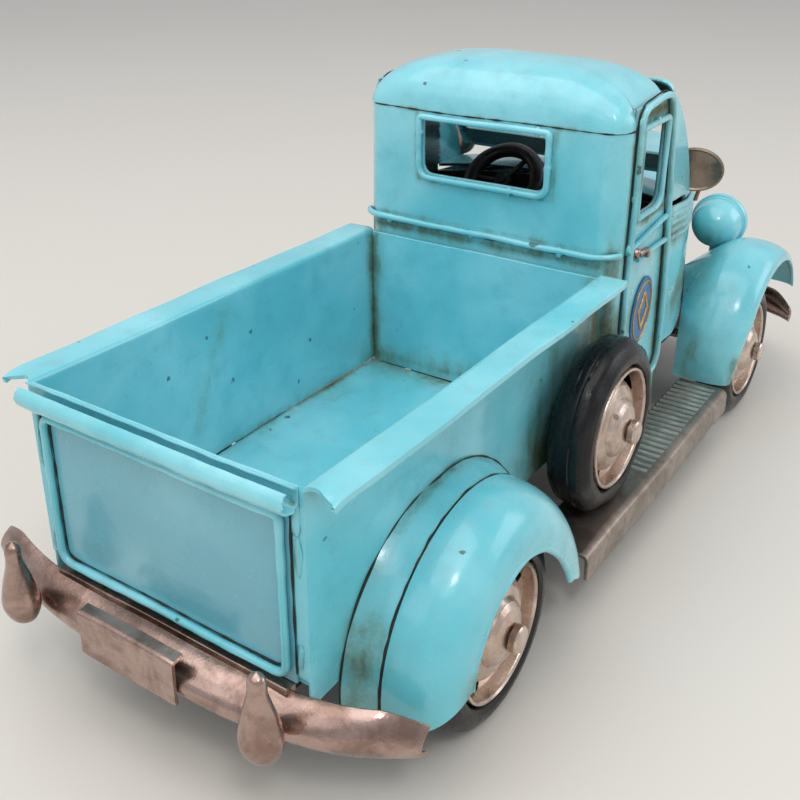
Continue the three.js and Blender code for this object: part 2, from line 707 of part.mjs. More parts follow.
const fenderCrestY = 50;
function rearFenderPoint(u, v) {
  const share = Math.max(0, (v - 0.34) / 0.66);
  const bandShare = Math.min(1, v / 0.34);
  const tail = 189 - 13 * share ** 2;
  const tip = lerp(13, 6, bandShare) - 11 * Math.sin(Math.PI * share) ** 0.8 - 6 * share;
  const angle = lerp(tail, tip, u);
  const forward = Math.max(0, (60 - angle) / 74);
  const crest = 36.8 + 9.5 * forward ** 2.2;
  const edge = 22.8 + 9 * forward ** 2.5;
  const rise = -0.6 - 3 * Math.abs(Math.cos(rad(angle)));
  const [y, radius] = crownedSection(bedHalfWidth + tin + 1, fenderCrestY, 66, crest, edge, rise, v);
  return polar(rearAxleX, angle, radius, y);
}
addPair('rear_fender', pressedSheet(rearFenderPoint, 15, 8), paints.turquoise);

function frontFenderPoint(u, v) {
  const angle = lerp(189, 14, u);
  const run = (190 - angle) / 180;
  const crest = 29.4 + 23.6 * run ** 1.5;
  const edge = 26 - 2.2 * Math.min(1, run / 0.1) + 26 * Math.max(0, (170 - angle) / 160) ** 1.8;
  const drop = 17 * Math.min(1, run / 0.5) ** 1.5;
  const x = frontAxleX + (crest - drop) * Math.cos(rad(angle));
  const inner = bodyHalfWidth(x) + 2.2 + 1.1 * Math.max(0, x - noseX + 6);
  const outer = 62.5 + 3.5 * Math.min(1, run / 0.3) - 8 * Math.max(0, run - 0.75);
  const [y, radius] = crownedSection(inner, fenderCrestY + 1, outer, crest, edge, drop, v);
  return polar(frontAxleX, angle, radius, y);
}
addPair('front_fender', pressedSheet(frontFenderPoint, 15, 8), paints.turquoise);

// ---------------------------------------------------------------- running boards
function runningBoard() {
  const line = [[cabHalfWidth + 1, boardTop], [boardOuterY - 1, boardTop], [boardOuterY, boardTop - 1],
    [boardOuterY, boardTop - 7.2]];
  return alongX(bentStrip(line, 1.2), boardRearX, boardFrontX);
}
addPair('running_board', runningBoard(), paints.champagne);

const matRearX = 144;
const matFrontX = 214;
const ribPitch = 3.5;
function boardMat() {
  const line = [[matFrontX, boardTop + gap], [matRearX, boardTop + gap]];
  const ribs = Math.round((matFrontX - matRearX) / ribPitch);
  for (let i = 0; i < ribs; i += 1) {
    const x = matRearX + i * ribPitch;
    line.push([x, boardTop + 0.9], [x + 0.9, boardTop + 1.7]);
    line.push([x + 2.2, boardTop + 1.7], [x + 3.1, boardTop + 0.9]);
  }
  line.push([matFrontX, boardTop + 0.9]);
  return alongY(outline(line), cabHalfWidth + 2, boardOuterY - 4);
}
addPair('running_board_mat', boardMat(), paints.mat);

// ---------------------------------------------------------------- bumpers and plate
// A rounded bar whose ends sweep round the corners of the truck.
const bumperHalfWidth = 64;
const bumperLow = 23.9;
const bumperHeight = 12;
function bumperPoint(u, v, sweep, lift) {
  const y = lerp(bumperHalfWidth, -bumperHalfWidth, u);
  const end = Math.abs(y) / bumperHalfWidth;
  const depth = 3.4 + 4.2 * (1 - end ** 2);
  const x = -1.7 - 1.3 * (1 - v) - depth * Math.sin(Math.PI * v) ** 0.7 + sweep * end ** 4.2;
  return [x, y, bumperLow + bumperHeight * v + lift * end ** 4];
}
// The left end of the rear bar is bent up and swept forward less than the right one.
addPiece('rear_bumper', pressedSheet((u, v) => (
  u < 0.5 ? bumperPoint(1 - u, v, 13.5, 0) : bumperPoint(1 - u, v, 5.5, 5)), 18, 5, 1.2), paints.champagne);

const frontBumperX = 304.42;
addPiece('front_bumper', pressedSheet((u, v) => {
  const [x, y, z] = bumperPoint(u, v, 13.5, 0);
  return [frontBumperX - x, y, z - 1];
}, 18, 5, 1.2), paints.champagne);

// Bumperette: a teardrop stood on its heavy end.
function bumperette() {
  const profile = [[0, 0], [3.4, 0.8], [5.2, 3.4], [5.6, 6.6], [4.8, 10.6], [3.4, 15], [2.2, 19], [1.3, 22],
    [0, 23]];
  const drop = new THREE.LatheGeometry(profile.map(([r, rise]) => new THREE.Vector2(r, rise)), 14);
  return drop.rotateX(Math.PI / 2).scale(0.6, 0.96, 0.96).translate(-12.1, 38.6, 27);
}
addPair('bumperette', bumperette(), paints.champagne);

function licencePlate() {
  const line = [[-7.6, 36.8], [-10.2, 36.4], [-11, 35.4], [-11, 24.6]];
  return alongY(bentStrip(line, 0.8), -11.5, 20);
}
addPiece('licence_plate', licencePlate(), paints.champagne);

// ---------------------------------------------------------------- spare wheel
// It stands on the running board behind the door, on a pin fixed to the bed side.
const spareZ = boardTop + gap + wheelRadius;
const spareOuterY = 59;
const sparePinRoot = bedHalfWidth + tin + gap;
const spareTyre = turned(tyreProfile, spareOuterY).translate(spareX, 0, spareZ);
addPiece('spare_tyre', mirrored(spareTyre), paints.tyre);
addPiece('spare_wheel', mirrored(punchedWheel(spareOuterY).translate(spareX, 0, spareZ)), paints.champagne);
function sparePin() {
  const head = spareOuterY + 4.8;
  const profile = [[0, head], [headRadius - 0.5, head], [headRadius, head - 0.5],
    [headRadius, head - headThickness],
    [axleRadius, head - headThickness], [axleRadius, sparePinRoot + 1], [5, sparePinRoot + 1],
    [5, sparePinRoot],
    [0, sparePinRoot]];
  const points = profile.map(([r, y]) => new THREE.Vector2(r, y)).reverse();
  return mirrored(new THREE.LatheGeometry(points, 16).translate(spareX, 0, spareZ));
}
addPiece('spare_pin', sparePin(), paints.champagne);

// ---------------------------------------------------------------- mirrors
function mirror() {
  const disc = new THREE.CylinderGeometry(1, 1, 1.6, 18).rotateZ(Math.PI / 2).scale(1, 8.4, 7.2);
  disc.rotateZ(rad(-12)).translate(206.4, 48.6, 105.6);
  const arm = bentWire([[208.4, 45.9, 93.5], [208, 46.8, 97], [206.8, 48.2, 101]], 0.8, 4);
  return joined(disc, arm);
}
addPair('mirror', mirror(), paints.brown);

export default truck;
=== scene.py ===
import math
import bmesh
import bpy
import numpy as np
from mathutils import Matrix, Vector


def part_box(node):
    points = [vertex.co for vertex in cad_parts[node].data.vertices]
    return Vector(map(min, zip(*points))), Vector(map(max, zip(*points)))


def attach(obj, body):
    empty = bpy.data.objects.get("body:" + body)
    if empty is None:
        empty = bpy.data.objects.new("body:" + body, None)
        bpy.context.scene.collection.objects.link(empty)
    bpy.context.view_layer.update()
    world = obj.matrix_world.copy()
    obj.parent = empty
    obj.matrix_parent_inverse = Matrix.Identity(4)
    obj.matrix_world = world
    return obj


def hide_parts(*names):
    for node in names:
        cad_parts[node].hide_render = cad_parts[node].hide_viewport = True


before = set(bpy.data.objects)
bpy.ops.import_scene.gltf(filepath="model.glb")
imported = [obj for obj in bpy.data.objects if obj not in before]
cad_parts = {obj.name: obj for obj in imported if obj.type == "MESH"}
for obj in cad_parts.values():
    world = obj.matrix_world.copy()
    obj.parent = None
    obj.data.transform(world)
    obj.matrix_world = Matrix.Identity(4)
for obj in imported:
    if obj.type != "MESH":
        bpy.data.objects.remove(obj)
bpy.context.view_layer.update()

# Lengths below are millimetres. x is a station counted forward from the tailgate plane, y is to the
# truck's left and z is up; place() turns them into metres in the frame, whose origin is under the middle.
mm = 0.001
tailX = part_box("bed_side_left")[0].x / mm - 0.2
print("frame loaded,", len(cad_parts), "nodes")


def span(node):
    # lowest and highest corner of a node, x as a station
    low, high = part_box(node)
    shift = np.array([tailX, 0.0, 0.0])
    return np.array(low) / mm - shift, np.array(high) / mm - shift


def middle(node):
    low, high = span(node)
    return (low + high) / 2


def place(points):
    return (np.asarray(points, float).reshape(-1, 3) + [tailX, 0.0, 0.0]) * mm


gap = 0.3  # clearance between touching pieces
tin = 1.0  # thickness of the sheet
wire = 1.0  # radius of the trim wire
wheelRadius = middle("rear_tyre_left")[2]
tyreOuter = span("rear_tyre_left")[1][1]
rearAxle = middle("rear_tyre_left")[0]
frontAxle = middle("front_tyre_left")[0]
bedHalf = span("bed_front_wall")[1][1] + gap
bedFloor = span("bed_floor")[1][2]
bedLength = span("bed_side_left")[1][0]
railHalf = span("bed_side_left")[1][1]
railTop = span("bed_side_left")[1][2]
cabBack = span("cab_back_panel")[0][0]
cabHalf = span("cab_back_panel")[1][1]
cabBottom = span("cab_back_panel")[0][2]
seamZ = span("cab_back_panel")[1][2]
cornerEnd = span("cab_back_panel")[1][0]
roofTop = span("cab_roof")[1][2]
roofFront = span("cab_roof")[1][0]
sillZ = span("cab_side_left")[0][2]
doorTop = span("cab_side_left")[1][2]
doorFront = span("cowl")[0][0] - gap
screenBase = span("cowl")[1][0]
cowlTop = span("cab_side_left")[1][2] - 37.4
nose = span("grille")[0][0] - gap
boardTop = span("running_board_left")[1][2]
boardOuter = span("running_board_left")[1][1]
boardRear = span("running_board_left")[0][0]
boardFront = span("running_board_left")[1][0]
spareX = middle("spare_tyre")[0]
spareZ = middle("spare_tyre")[2]
spareOuter = -span("spare_tyre")[0][1]
lampX, lampZ = middle("headlight_left")[0], middle("headlight_left")[2]


# Shapes: every one is a grid of points worked out as whole arrays.

def patch(points, loopRows=False, loopColumns=False, keep=None):
    # quads of a grid; their front is (direction of the rows) x (direction of the columns)
    rows, columns = points.shape[:2]
    a, b = np.meshgrid(np.arange(rows if loopRows else rows - 1),
                       np.arange(columns if loopColumns else columns - 1), indexing="ij")
    nextA = (a + 1) % rows
    nextB = (b + 1) % columns
    corners = [a * columns + b, nextA * columns + b, nextA * columns + nextB, a * columns + nextB]
    faces = np.stack(corners, -1)
    if keep is not None:
        faces = faces[keep]
    return points.reshape(-1, 3).astype(float), faces.reshape(-1, 4)


def shifted(patches, offset):
    # every point moved by what offset works out from the points
    return [(points + offset(points), faces) for points, faces in patches]


def mirrored(patches):
    # y changes sign, and the quads run the other way round so that they still face out
    return [(points * [1, -1, 1], faces[:, ::-1]) for points, faces in patches]


def stack(x, y, z):
    return np.stack(np.broadcast_arrays(x, y, z), -1)


def mixed(a, b, share):
    return a + (b - a) * share


def unit(vectors):
    return vectors / np.maximum(np.linalg.norm(vectors, axis=-1, keepdims=True), 1e-9)


def finer(line, step):
    # the same line with more points: one at least every step along it, its own points kept
    line = np.asarray(line, float)
    along = np.concatenate([[0], np.cumsum(np.linalg.norm(np.diff(line, axis=0), axis=1))])
    marks = np.unique(np.round(np.concatenate([along, np.arange(0, along[-1], step)]), 4))
    return np.stack([np.interp(marks, along, column) for column in line.T], -1)


def ladder(start, end, step):
    # numbers from start to end, at most a step apart
    return finer([(start, 0), (end, 0)], step)[:, 0]


def evenly(line, count):
    # count points at equal steps along a line
    line = np.asarray(line, float)
    along = np.concatenate([[0], np.cumsum(np.linalg.norm(np.diff(line, axis=0), axis=1))])
    marks = np.linspace(0, along[-1], count)
    return np.stack([np.interp(marks, along, column) for column in line.T], -1)


def smoothLine(points, count):
    # Catmull-Rom curve: each stretch is the cubic through two points with its slope from their neighbours
    points = np.asarray(points, float)
    all4 = np.vstack([2 * points[0] - points[1], points, 2 * points[-1] - points[-2]])
    stretches = len(points) - 1
    run = np.linspace(0, stretches, stretches * 24 + 1)
    k = np.minimum(run.astype(int), stretches - 1)
    f = (run - k)[:, None]
    a, b, c, d = all4[k], all4[k + 1], all4[k + 2], all4[k + 3]
    curve = b + 0.5 * f * (c - a + f * (2 * a - 5 * b + 4 * c - d + f * (3 * (b - c) + d - a)))
    return evenly(curve, count)


def rounded(corners, radii, steps=6):
    # polyline whose inner corners become arcs: start, corner and end weighted by a quadratic curve
    corners = np.asarray(corners, float)
    share = np.linspace(0, 1, steps)[:, None]
    line = [corners[:1]]
    for before, corner, after, radius in zip(corners[:-2], corners[1:-1], corners[2:], radii):
        start = corner + radius * unit(before - corner)
        end = corner + radius * unit(after - corner)
        line.append((1 - share) ** 2 * start + 2 * share * (1 - share) * corner + share ** 2 * end)
    return np.vstack(line + [corners[-1:]])


def roundedLoop(a0, a1, b0, b1, radii, step=1.0):
    # closed outline of a rectangle, from the lower left corner round, each corner with its own radius
    half = (a0 + a1) / 2
    corners = [(half, b0), (a1, b0), (a1, b1), (a0, b1), (a0, b0), (half, b0)]
    lowLeft, lowRight, upRight, upLeft = radii
    return finer(rounded(corners, [lowRight, upRight, upLeft, lowLeft]), step)[:-1]


def waves(points, amount, length, seed, count=6):
    # sum of a few sine waves in random directions, a different sum for each coordinate
    draw = np.random.default_rng(seed)
    direction = unit(draw.normal(size=(count, 3))) * draw.uniform(0.6, 1.7, (count, 1)) * 2 * np.pi / length
    phase = draw.uniform(0, 2 * np.pi, (count, 3))
    angle = (points.reshape(-1, 3) @ direction.T)[:, :, None] + phase
    return (amount / math.sqrt(count) * np.sin(angle).sum(1)).reshape(points.shape)


def ripple(position, amount, length, seed, count=5):
    # the same in one dimension, for edges
    draw = np.random.default_rng(seed)
    pitch = draw.uniform(0.5, 2.2, count) * 2 * np.pi / length
    phase = draw.uniform(0, 2 * np.pi, count)
    return amount / math.sqrt(count) * np.sin(position[..., None] * pitch + phase).sum(-1)


def turned(profile, centre, segments=96, axis="y"):
    # profile of (radius, distance along the axis) carried round the axis; seen from the far end of the
    # axis it faces the viewer where the radius falls from row to row
    angle = np.linspace(0, 2 * np.pi, segments, endpoint=False)
    radius, along = np.asarray(profile, float).T[:, :, None]
    across, up = radius * np.cos(angle), radius * np.sin(angle)
    order = {"y": (across, along, up), "x": (along, up, across), "z": (up, across, along)}[axis]
    return patch(stack(*order) + np.asarray(centre, float), loopColumns=True)


def wireAlong(route, radius, normal, sides=12, closed=False, uneven=0.06, seed=1):
    # round section on a flat route: centre + radius (cos a (tangent x normal) + sin a normal)
    route = np.asarray(route, float)
    normal = np.asarray(normal, float)
    if not closed:
        route = np.vstack([route[:1], route, route[-1:]])
    tangent = np.roll(route, -1, 0) - np.roll(route, 1, 0)
    if not closed:
        tangent[:2] = route[2] - route[1]
        tangent[-2:] = route[-2] - route[-3]
    side = unit(np.cross(tangent, normal))
    size = radius * (1 + uneven * waves(route, 1.0, 7.0, seed)[:, 0])
    if not closed:
        size[[0, -1]] = 0
    angle = np.linspace(0, 2 * np.pi, sides, endpoint=False)[None, :, None]
    ring = side[:, None] * np.cos(angle) + normal * np.sin(angle)
    return patch(route[:, None] + size[:, None, None] * ring, loopRows=closed, loopColumns=True)


def slab(low, high, cell=4.0):
    # closed box of six grids
    low, high = np.asarray(low, float), np.asarray(high, float)
    sides = []
    for axis in range(3):
        one, two = (axis + 1) % 3, (axis + 2) % 3
        first = np.linspace(low[one], high[one], max(2, int((high[one] - low[one]) / cell) + 1))
        second = np.linspace(low[two], high[two], max(2, int((high[two] - low[two]) / cell) + 1))
        for level, order in ((high[axis], 1), (low[axis], -1)):
            grid = np.empty((len(first), len(second), 3))
            grid[..., axis] = level
            grid[..., one] = first[:, None]
            grid[..., two] = second[None, :]
            points, faces = patch(grid)
            sides.append((points, faces[:, ::order]))
    return sides


def blob(centre, radii, seed=1, rough=0.12):
    # lump of solder: an ellipsoid, each point pushed in or out a little
    across = np.linspace(0, 2 * np.pi, 16, endpoint=False)[None, :]
    up = np.linspace(np.pi / 2, -np.pi / 2, 10)[:, None]
    ball = stack(np.cos(up) * np.cos(across), np.cos(up) * np.sin(across), np.sin(up) + 0 * across)
    ball = ball + waves(ball, rough, 1.6, seed) * np.cos(up)[..., None]
    return patch(ball[::-1] * np.asarray(radii, float) + np.asarray(centre, float), loopColumns=True)[0], \
        patch(ball, loopColumns=True)[1][:, ::-1]


def sectionAlongX(line, stations):
    # (y, z) line carried along x: rows follow x, columns the line
    line = np.asarray(line, float)
    return stack(np.asarray(stations, float)[:, None], line[None, :, 0], line[None, :, 1])


def sectionAlongY(line, across):
    # (x, z) line carried along y: rows follow the line, columns y
    line = np.asarray(line, float)
    return stack(line[:, None, 0], np.asarray(across, float)[None, :], line[:, None, 1])


def radiusAt(loop, centre, angles):
    # distance from the centre to a star-shaped outline in each direction
    offset = finer(np.vstack([loop, loop[:1]]), 0.2) - centre
    heading = np.arctan2(offset[:, 1], offset[:, 0])
    order = np.argsort(heading)
    return np.interp(angles, heading[order], np.linalg.norm(offset, axis=1)[order], period=2 * np.pi)


def plateWithHole(outer, inner, centre, rows):
    # flat ring between two outlines: hole and edge in the same direction, mixed by the column
    outer, inner = np.asarray(outer, float), np.asarray(inner, float)
    offset = np.vstack([outer, inner]) - centre
    angles = np.unique(np.round(np.concatenate([np.linspace(-np.pi, np.pi, 240, endpoint=False),
                                                np.arctan2(offset[:, 1], offset[:, 0])]), 5))
    share = np.linspace(0, 1, rows)
    reach = mixed(radiusAt(inner, centre, angles)[:, None], radiusAt(outer, centre, angles)[:, None], share)
    return centre[0] + reach * np.cos(angles)[:, None], centre[1] + reach * np.sin(angles)[:, None]


# Lines where the brown wash gathers, and broad areas painted darker as shade: a line, how far it reaches,
# how strongly, and the way that a surface has to face to take it. They're the same on both sides of the
# truck, so y is positive.
inward, outward, rearward = (-0.3, -0.8, 0.5), (-0.3, 0.9, 0.3), (-1.0, 0.25, 0.2)
# lines that take this way darken broad areas of upright outer sides
flank = (0.5, 0.8, -0.5)  # only an upright outer side


def arcAbout(axle, radius, y, first, last, count=14):
    angle = np.radians(np.linspace(first, last, count))
    return stack(axle + radius * np.cos(angle), y, wheelRadius + radius * np.sin(angle))


washAndShadeLines = [
    ([(2, bedHalf, bedFloor), (bedLength - 2, bedHalf, bedFloor)], 4.0, 0.6, inward),
    ([(bedLength - 1, 0, bedFloor), (bedLength - 1, bedHalf, bedFloor)], 12.0, 0.72, inward),
    ([(bedLength - 1, bedHalf, bedFloor), (bedLength - 1, bedHalf, railTop - 3)], 5.0, 0.8, inward),
    ([(66, bedHalf, railTop - 6), (52, bedHalf, 50)], 5.0, 0.42, inward),
    ([(0, bedHalf - 1.4, 38), (0, bedHalf - 1.4, 84)], 1.5, 0.8, rearward),
    ([(0, 0, railTop - 5.4), (0, bedHalf, railTop - 5.4)], 1.8, 0.7, rearward),
    ([(2, bedHalf + 1, railTop - 3), (bedLength, bedHalf + 1, railTop - 3)], 3.0, 0.5, outward),
    # painted shade: the bed side behind the spare wheel, darkened as if in its shadow
    ([(112, bedHalf + 1, 40), (bedLength, bedHalf + 1, 60)], 30.0, 1.0, flank),
    ([(bedLength, bedHalf + 1, 40), (bedLength, bedHalf + 1, railTop)], 14.0, 0.95, flank),
    (arcAbout(rearAxle, 36.5, bedHalf + 1.6, 12, 188), 3.6, 0.85, outward),
    (arcAbout(rearAxle, 35, bedHalf + 3, 158, 196), 11.0, 0.8, outward),
    (arcAbout(rearAxle, 37, 50.0, 20, 186), 0.9, 0.6, outward),
    (arcAbout(rearAxle, 24, 65.0, 168, 200), 6.0, 0.7, outward),
    ([(cornerEnd, cabHalf, 40), (cornerEnd, cabHalf, seamZ)], 2.4, 0.8, outward),
    ([(cabBack, 0, railTop + 2), (cabBack, cabHalf, railTop + 2)], 3.6, 0.75, rearward),
    ([(cabBack, 0, 90.4), (cabBack, cabHalf - 4, 90.4)], 1.8, 0.7, rearward),
    ([(cabBack, 0, 93), (cabBack, cabHalf - 4, 93)], 1.5, 0.5, rearward),
    ([(cabBack, 0, seamZ), (cabBack, 37, seamZ), (cornerEnd, cabHalf, seamZ)], 1.3, 0.55, rearward),
    ([(cabBack, 0, 106), (cabBack, 24, 106), (cabBack, 24, 127)], 1.8, 0.6, rearward),
    ([(151.8, cabHalf, 98), (151.8, cabHalf, 132)], 4.6, 1.0, outward),
    ([(152, cabHalf, 131.4), (174, cabHalf, 131.6), (180, cabHalf, 104)], 4.6, 1.0, outward),
    ([(154, cabHalf, 99), (180, cabHalf, 99)], 3.4, 0.9, outward),
    ([(152, cabHalf, 41), (152, cabHalf, 92)], 3.0, 0.9, outward),
    ([(183.4, cabHalf, 44), (182.6, cabHalf, 90)], 3.4, 0.9, outward),
    ([(152, cabHalf, 42), (182, cabHalf, 42)], 6.0, 0.9, outward),
    ([(188, cabHalf, 30), (188, cabHalf, 96)], 5.0, 0.9, outward),
    ([(150, cabHalf, 24), (210, cabHalf, 24)], 12.0, 1.0, outward),
    ([(188, 43, 84), (270, 24, 79)], 5.0, 0.85, outward),
    # painted shade: the lower hood side under its shoulder
    ([(206, 44, 60), (270, 27, 60)], 18.0, 0.8, flank),
    ([(lampX - 9, 33, lampZ - 7), (lampX - 5, 28, lampZ - 10)], 8.0, 0.75, (-1.0, -0.3, -0.3)),
    ([(190, 44, 86), (262, 28, 82)], 9.0, 0.95, outward),
    # a broad, soft darkening of the lower door side
    ([(158, cabHalf, 40), (178, cabHalf, 80)], 40.0, 0.36, flank),
    # painted shade: more of the bed side behind the spare wheel
    ([(124, bedHalf + 1, 44), (bedLength, bedHalf + 1, 48)], 44.0, 0.9, flank),
    ([(110, bedHalf + 1, 37), (112, bedHalf + 1, 70)], 14.0, 0.6, outward),
    (arcAbout(frontAxle, 30, 47.0, 120, 190), 7.0, 0.55, outward),
    (arcAbout(frontAxle, 36, 42.0, 30, 120), 5.0, 0.8, outward),
    (arcAbout(frontAxle, 26, 64.0, 170, 192), 5.0, 0.7, outward),
]


def soilAndShadeOn(points, normals):
    # the strongest of (1 - distance / reach) over all wash and shade lines that the surface faces, so the
    # mask holds both dirt and painted shade; the distance is to the nearest segment
    side = np.where(points[:, 1] < 0, -1.0, 1.0)[:, None] * [0, 1, 0] + [1, 0, 1]
    folded, facing = points * side, normals * side
    mask = np.zeros(len(points))
    for line, reach, strength, way in washAndShadeLines:
        line = np.asarray(line, float)
        seen = strength * np.clip(facing @ unit(np.array(way)) * 3 + 0.7, 0, 1)
        for start, end in zip(line[:-1], line[1:]):
            along = end - start
            share = np.clip(((folded - start) @ along) / (along @ along), 0, 1)
            away = np.linalg.norm(folded - start - share[:, None] * along, axis=1)
            mask = np.maximum(mask, seen * np.clip(1 - away / reach, 0, 1) ** 0.8)
    return mask


def insideOf(points, normals):
    # 1 where a surface of the cabin or of the engine bay faces the middle of that space; these surfaces get
    # painted shade, darkened almost to black
    above = points[:, 2] > cowlTop - 2
    heart = np.stack([np.where(above, 165, np.clip(points[:, 0], 160, 250)), 0 * points[:, 1],
                      np.where(above, 108, np.clip(points[:, 2], 60, 90))], -1)
    half = np.interp(points[:, 0], [doorFront, nose], [cabHalf - 0.6, 21.6])
    within = (points[:, 0] > cabBack + 0.5) & (points[:, 0] < nose + 1) & (np.abs(points[:, 1]) < half) & (
        points[:, 2] > 24)
    return within * np.clip(np.sum(unit(heart - points) * normals, axis=1) * 4, 0, 1)


def meshOf(name, patches):
    # one mesh from its grids; points that coincide are merged, which closes seams and poles
    starts = np.cumsum([0] + [len(points) for points, faces in patches])
    points = np.vstack([points for points, faces in patches])
    faces = np.vstack([faces + start for (_, faces), start in zip(patches, starts)])
    mesh = bpy.data.meshes.new(name)
    mesh.from_pydata(place(points), [], faces)
    work = bmesh.new()
    work.from_mesh(mesh)
    bmesh.ops.remove_doubles(work, verts=work.verts, dist=2e-6)
    bmesh.ops.dissolve_degenerate(work, edges=work.edges, dist=1e-6)
    work.to_mesh(mesh)
    work.free()
    return mesh


counts = {"pieces": 0, "faces": 0}


def piece(name, patches, paint, nodes=(), body="body", wall=0.0, bevel=0.0, sharp=38, bent=True,
          turn=False):
    # wall is the sheet's thickness behind the front, bevel rounds the sheet's edges, sharp is the angle
    # past which an edge stays sharp, bent makes the surface a little uneven, and turn faces it outwards
    if bent:
        patches = [(points + waves(points, 0.16, 58.0, 5), faces) for points, faces in patches]
    mesh = meshOf(name, patches)
    if turn:
        work = bmesh.new()
        work.from_mesh(mesh)
        bmesh.ops.recalc_face_normals(work, faces=work.faces)
        work.to_mesh(mesh)
        work.free()
    made = bpy.data.objects.new(name, mesh)
    bpy.context.collection.objects.link(made)
    if wall:
        solid = made.modifiers.new("wall", "SOLIDIFY")
        solid.thickness = wall * mm
        solid.offset = -1
        solid.use_even_offset = True
        mesh = bpy.data.meshes.new_from_object(made.evaluated_get(bpy.context.evaluated_depsgraph_get()))
        made.modifiers.clear()
        made.data = mesh
    co, normals = np.empty((2, len(mesh.vertices) * 3))
    mesh.vertices.foreach_get("co", co)
    mesh.vertices.foreach_get("normal", normals)
    points, normals = co.reshape(-1, 3) / mm - [tailX, 0, 0], normals.reshape(-1, 3)
    # the first mask holds the wash and painted shade, the second the painted shade inside the cabin and
    # engine bay
    for label, values in (("soil_and_shade", soilAndShadeOn(points, normals)), ("inside", insideOf(points, normals))):
        mesh.attributes.new(label, "FLOAT", "POINT").data.foreach_set("value", values)
    mesh.polygons.foreach_set("use_smooth", np.ones(len(mesh.polygons), bool))
    mesh.set_sharp_from_angle(angle=math.radians(sharp))
    if bevel:
        edge = made.modifiers.new("edge", "BEVEL")
        edge.width = bevel * mm
        edge.segments = 2
        edge.limit_method = "ANGLE"
        edge.angle_limit = math.radians(40)
        edge.harden_normals = True
    material, slot = paint
    mesh.materials.append(material)
    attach(made, body)
    if nodes:
        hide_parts(*nodes)
    counts["pieces"] += 1
    counts["faces"] += len(mesh.polygons)
    return made


def bothSides(name, patches, paint, **finish):
    # a left piece and its mirror image that stand for no node
    for side, shape in (("left", patches), ("right", mirrored(patches))):
        piece(f"{name}_{side}", shape, paint, **finish)


def pair(name, patches, paint, **finish):
    # a left piece and its mirror image, each standing for the node of its own name
    for side, shape in (("left", patches), ("right", mirrored(patches))):
        piece(f"{name}_{side}_skin", shape, paint, (f"{name}_{side}",), **finish)


# Shading: small helpers, groups that several finishes share, then the finishes.

def shader(tree, kind, inputs=None, **settings):
    made = tree.nodes.new(kind)
    for key, value in settings.items():
        setattr(made, key, value)
    for key, value in (inputs or {}).items():
        if isinstance(value, bpy.types.NodeSocket):
            tree.links.new(value, made.inputs[key])
        else:
            made.inputs[key].default_value = value
    return made


def noise(tree, vector, scale, detail=4.0, roughness=0.55, distortion=0.0):
    return shader(tree, "ShaderNodeTexNoise", {"Vector": vector, "Scale": scale, "Detail": detail,
                  "Roughness": roughness, "Distortion": distortion}).outputs["Fac"]


def stretched(tree, vector, scale):
    return shader(tree, "ShaderNodeMapping", {"Vector": vector, "Scale": scale}).outputs["Vector"]


def spread(tree, value, low, high, start=0.0, end=1.0):
    return shader(tree, "ShaderNodeMapRange", {"Value": value, "From Min": low, "From Max": high,
                  "To Min": start, "To Max": end}, interpolation_type="SMOOTHSTEP").outputs["Result"]


def maths(tree, operation, a, b=0.0):
    return shader(tree, "ShaderNodeMath", {0: a, 1: b}, operation=operation).outputs[0]


def blended(tree, share, a, b):
    made = shader(tree, "ShaderNodeMix", {0: share, 6: a, 7: b}, data_type="RGBA")
    return made.outputs[2]


def colour(hexCode):
    # hexadecimal screen colour to linear values
    screen = np.array([int(hexCode[i:i + 2], 16) for i in (0, 2, 4)]) / 255
    linear = np.where(screen <= 0.04045, screen / 12.92, ((screen + 0.055) / 1.055) ** 2.4)
    return (*linear.tolist(), 1.0)


def group(name, inputs, outputs):
    tree = bpy.data.node_groups.new(name, "ShaderNodeTree")
    for label, kind, value in inputs:
        socket = tree.interface.new_socket(label, in_out="INPUT", socket_type=kind)
        if value is not None:
            socket.default_value = value
    for label, kind in outputs:
        tree.interface.new_socket(label, in_out="OUTPUT", socket_type=kind)
    return tree, tree.nodes.new("NodeGroupInput").outputs, tree.nodes.new("NodeGroupOutput").inputs


number, vector3 = "NodeSocketFloat", "NodeSocketVector"


def makeWashGroup():
    # brown wash, and the painted shade that its mask also carries: strong where that mask and two noises
    # together pass a threshold, with fine grain
    tree, given, gives = group("antique wash and painted shade", [("Vector", vector3, None), ("SoilAndShade", number, 0.0),
                               ("Amount", number, 1.0), ("Size", number, 120.0)],
                               [("Mask", number), ("Film", number)])
    broad = noise(tree, given["Vector"], given["Size"], 5.0, 0.6, 0.4)
    runs = noise(tree, stretched(tree, given["Vector"], (1.0, 1.0, 0.22)),
                 maths(tree, "MULTIPLY", given["Size"], 3.4), 3.0)
    grain = noise(tree, given["Vector"], maths(tree, "MULTIPLY", given["Size"], 14.0), 2.0)
    uneven = maths(tree, "ADD", maths(tree, "MULTIPLY", broad, 0.7), maths(tree, "MULTIPLY", runs, 0.5))
    uneven = maths(tree, "ADD", uneven, maths(tree, "MULTIPLY", grain, 0.22))
    wet = maths(tree, "MULTIPLY", given["SoilAndShade"], given["Amount"])
    both = maths(tree, "ADD", wet, maths(tree, "SUBTRACT", uneven, 0.71))
    tree.links.new(maths(tree, "MULTIPLY", spread(tree, both, 0.28, 0.95), spread(tree, wet, 0.02, 0.2)),
                   gives["Mask"])
    tree.links.new(spread(tree, maths(tree, "ADD", maths(tree, "MULTIPLY", wet, 0.9),
                   maths(tree, "SUBTRACT", uneven, 0.7)), 0.0, 0.8), gives["Film"])
    return tree


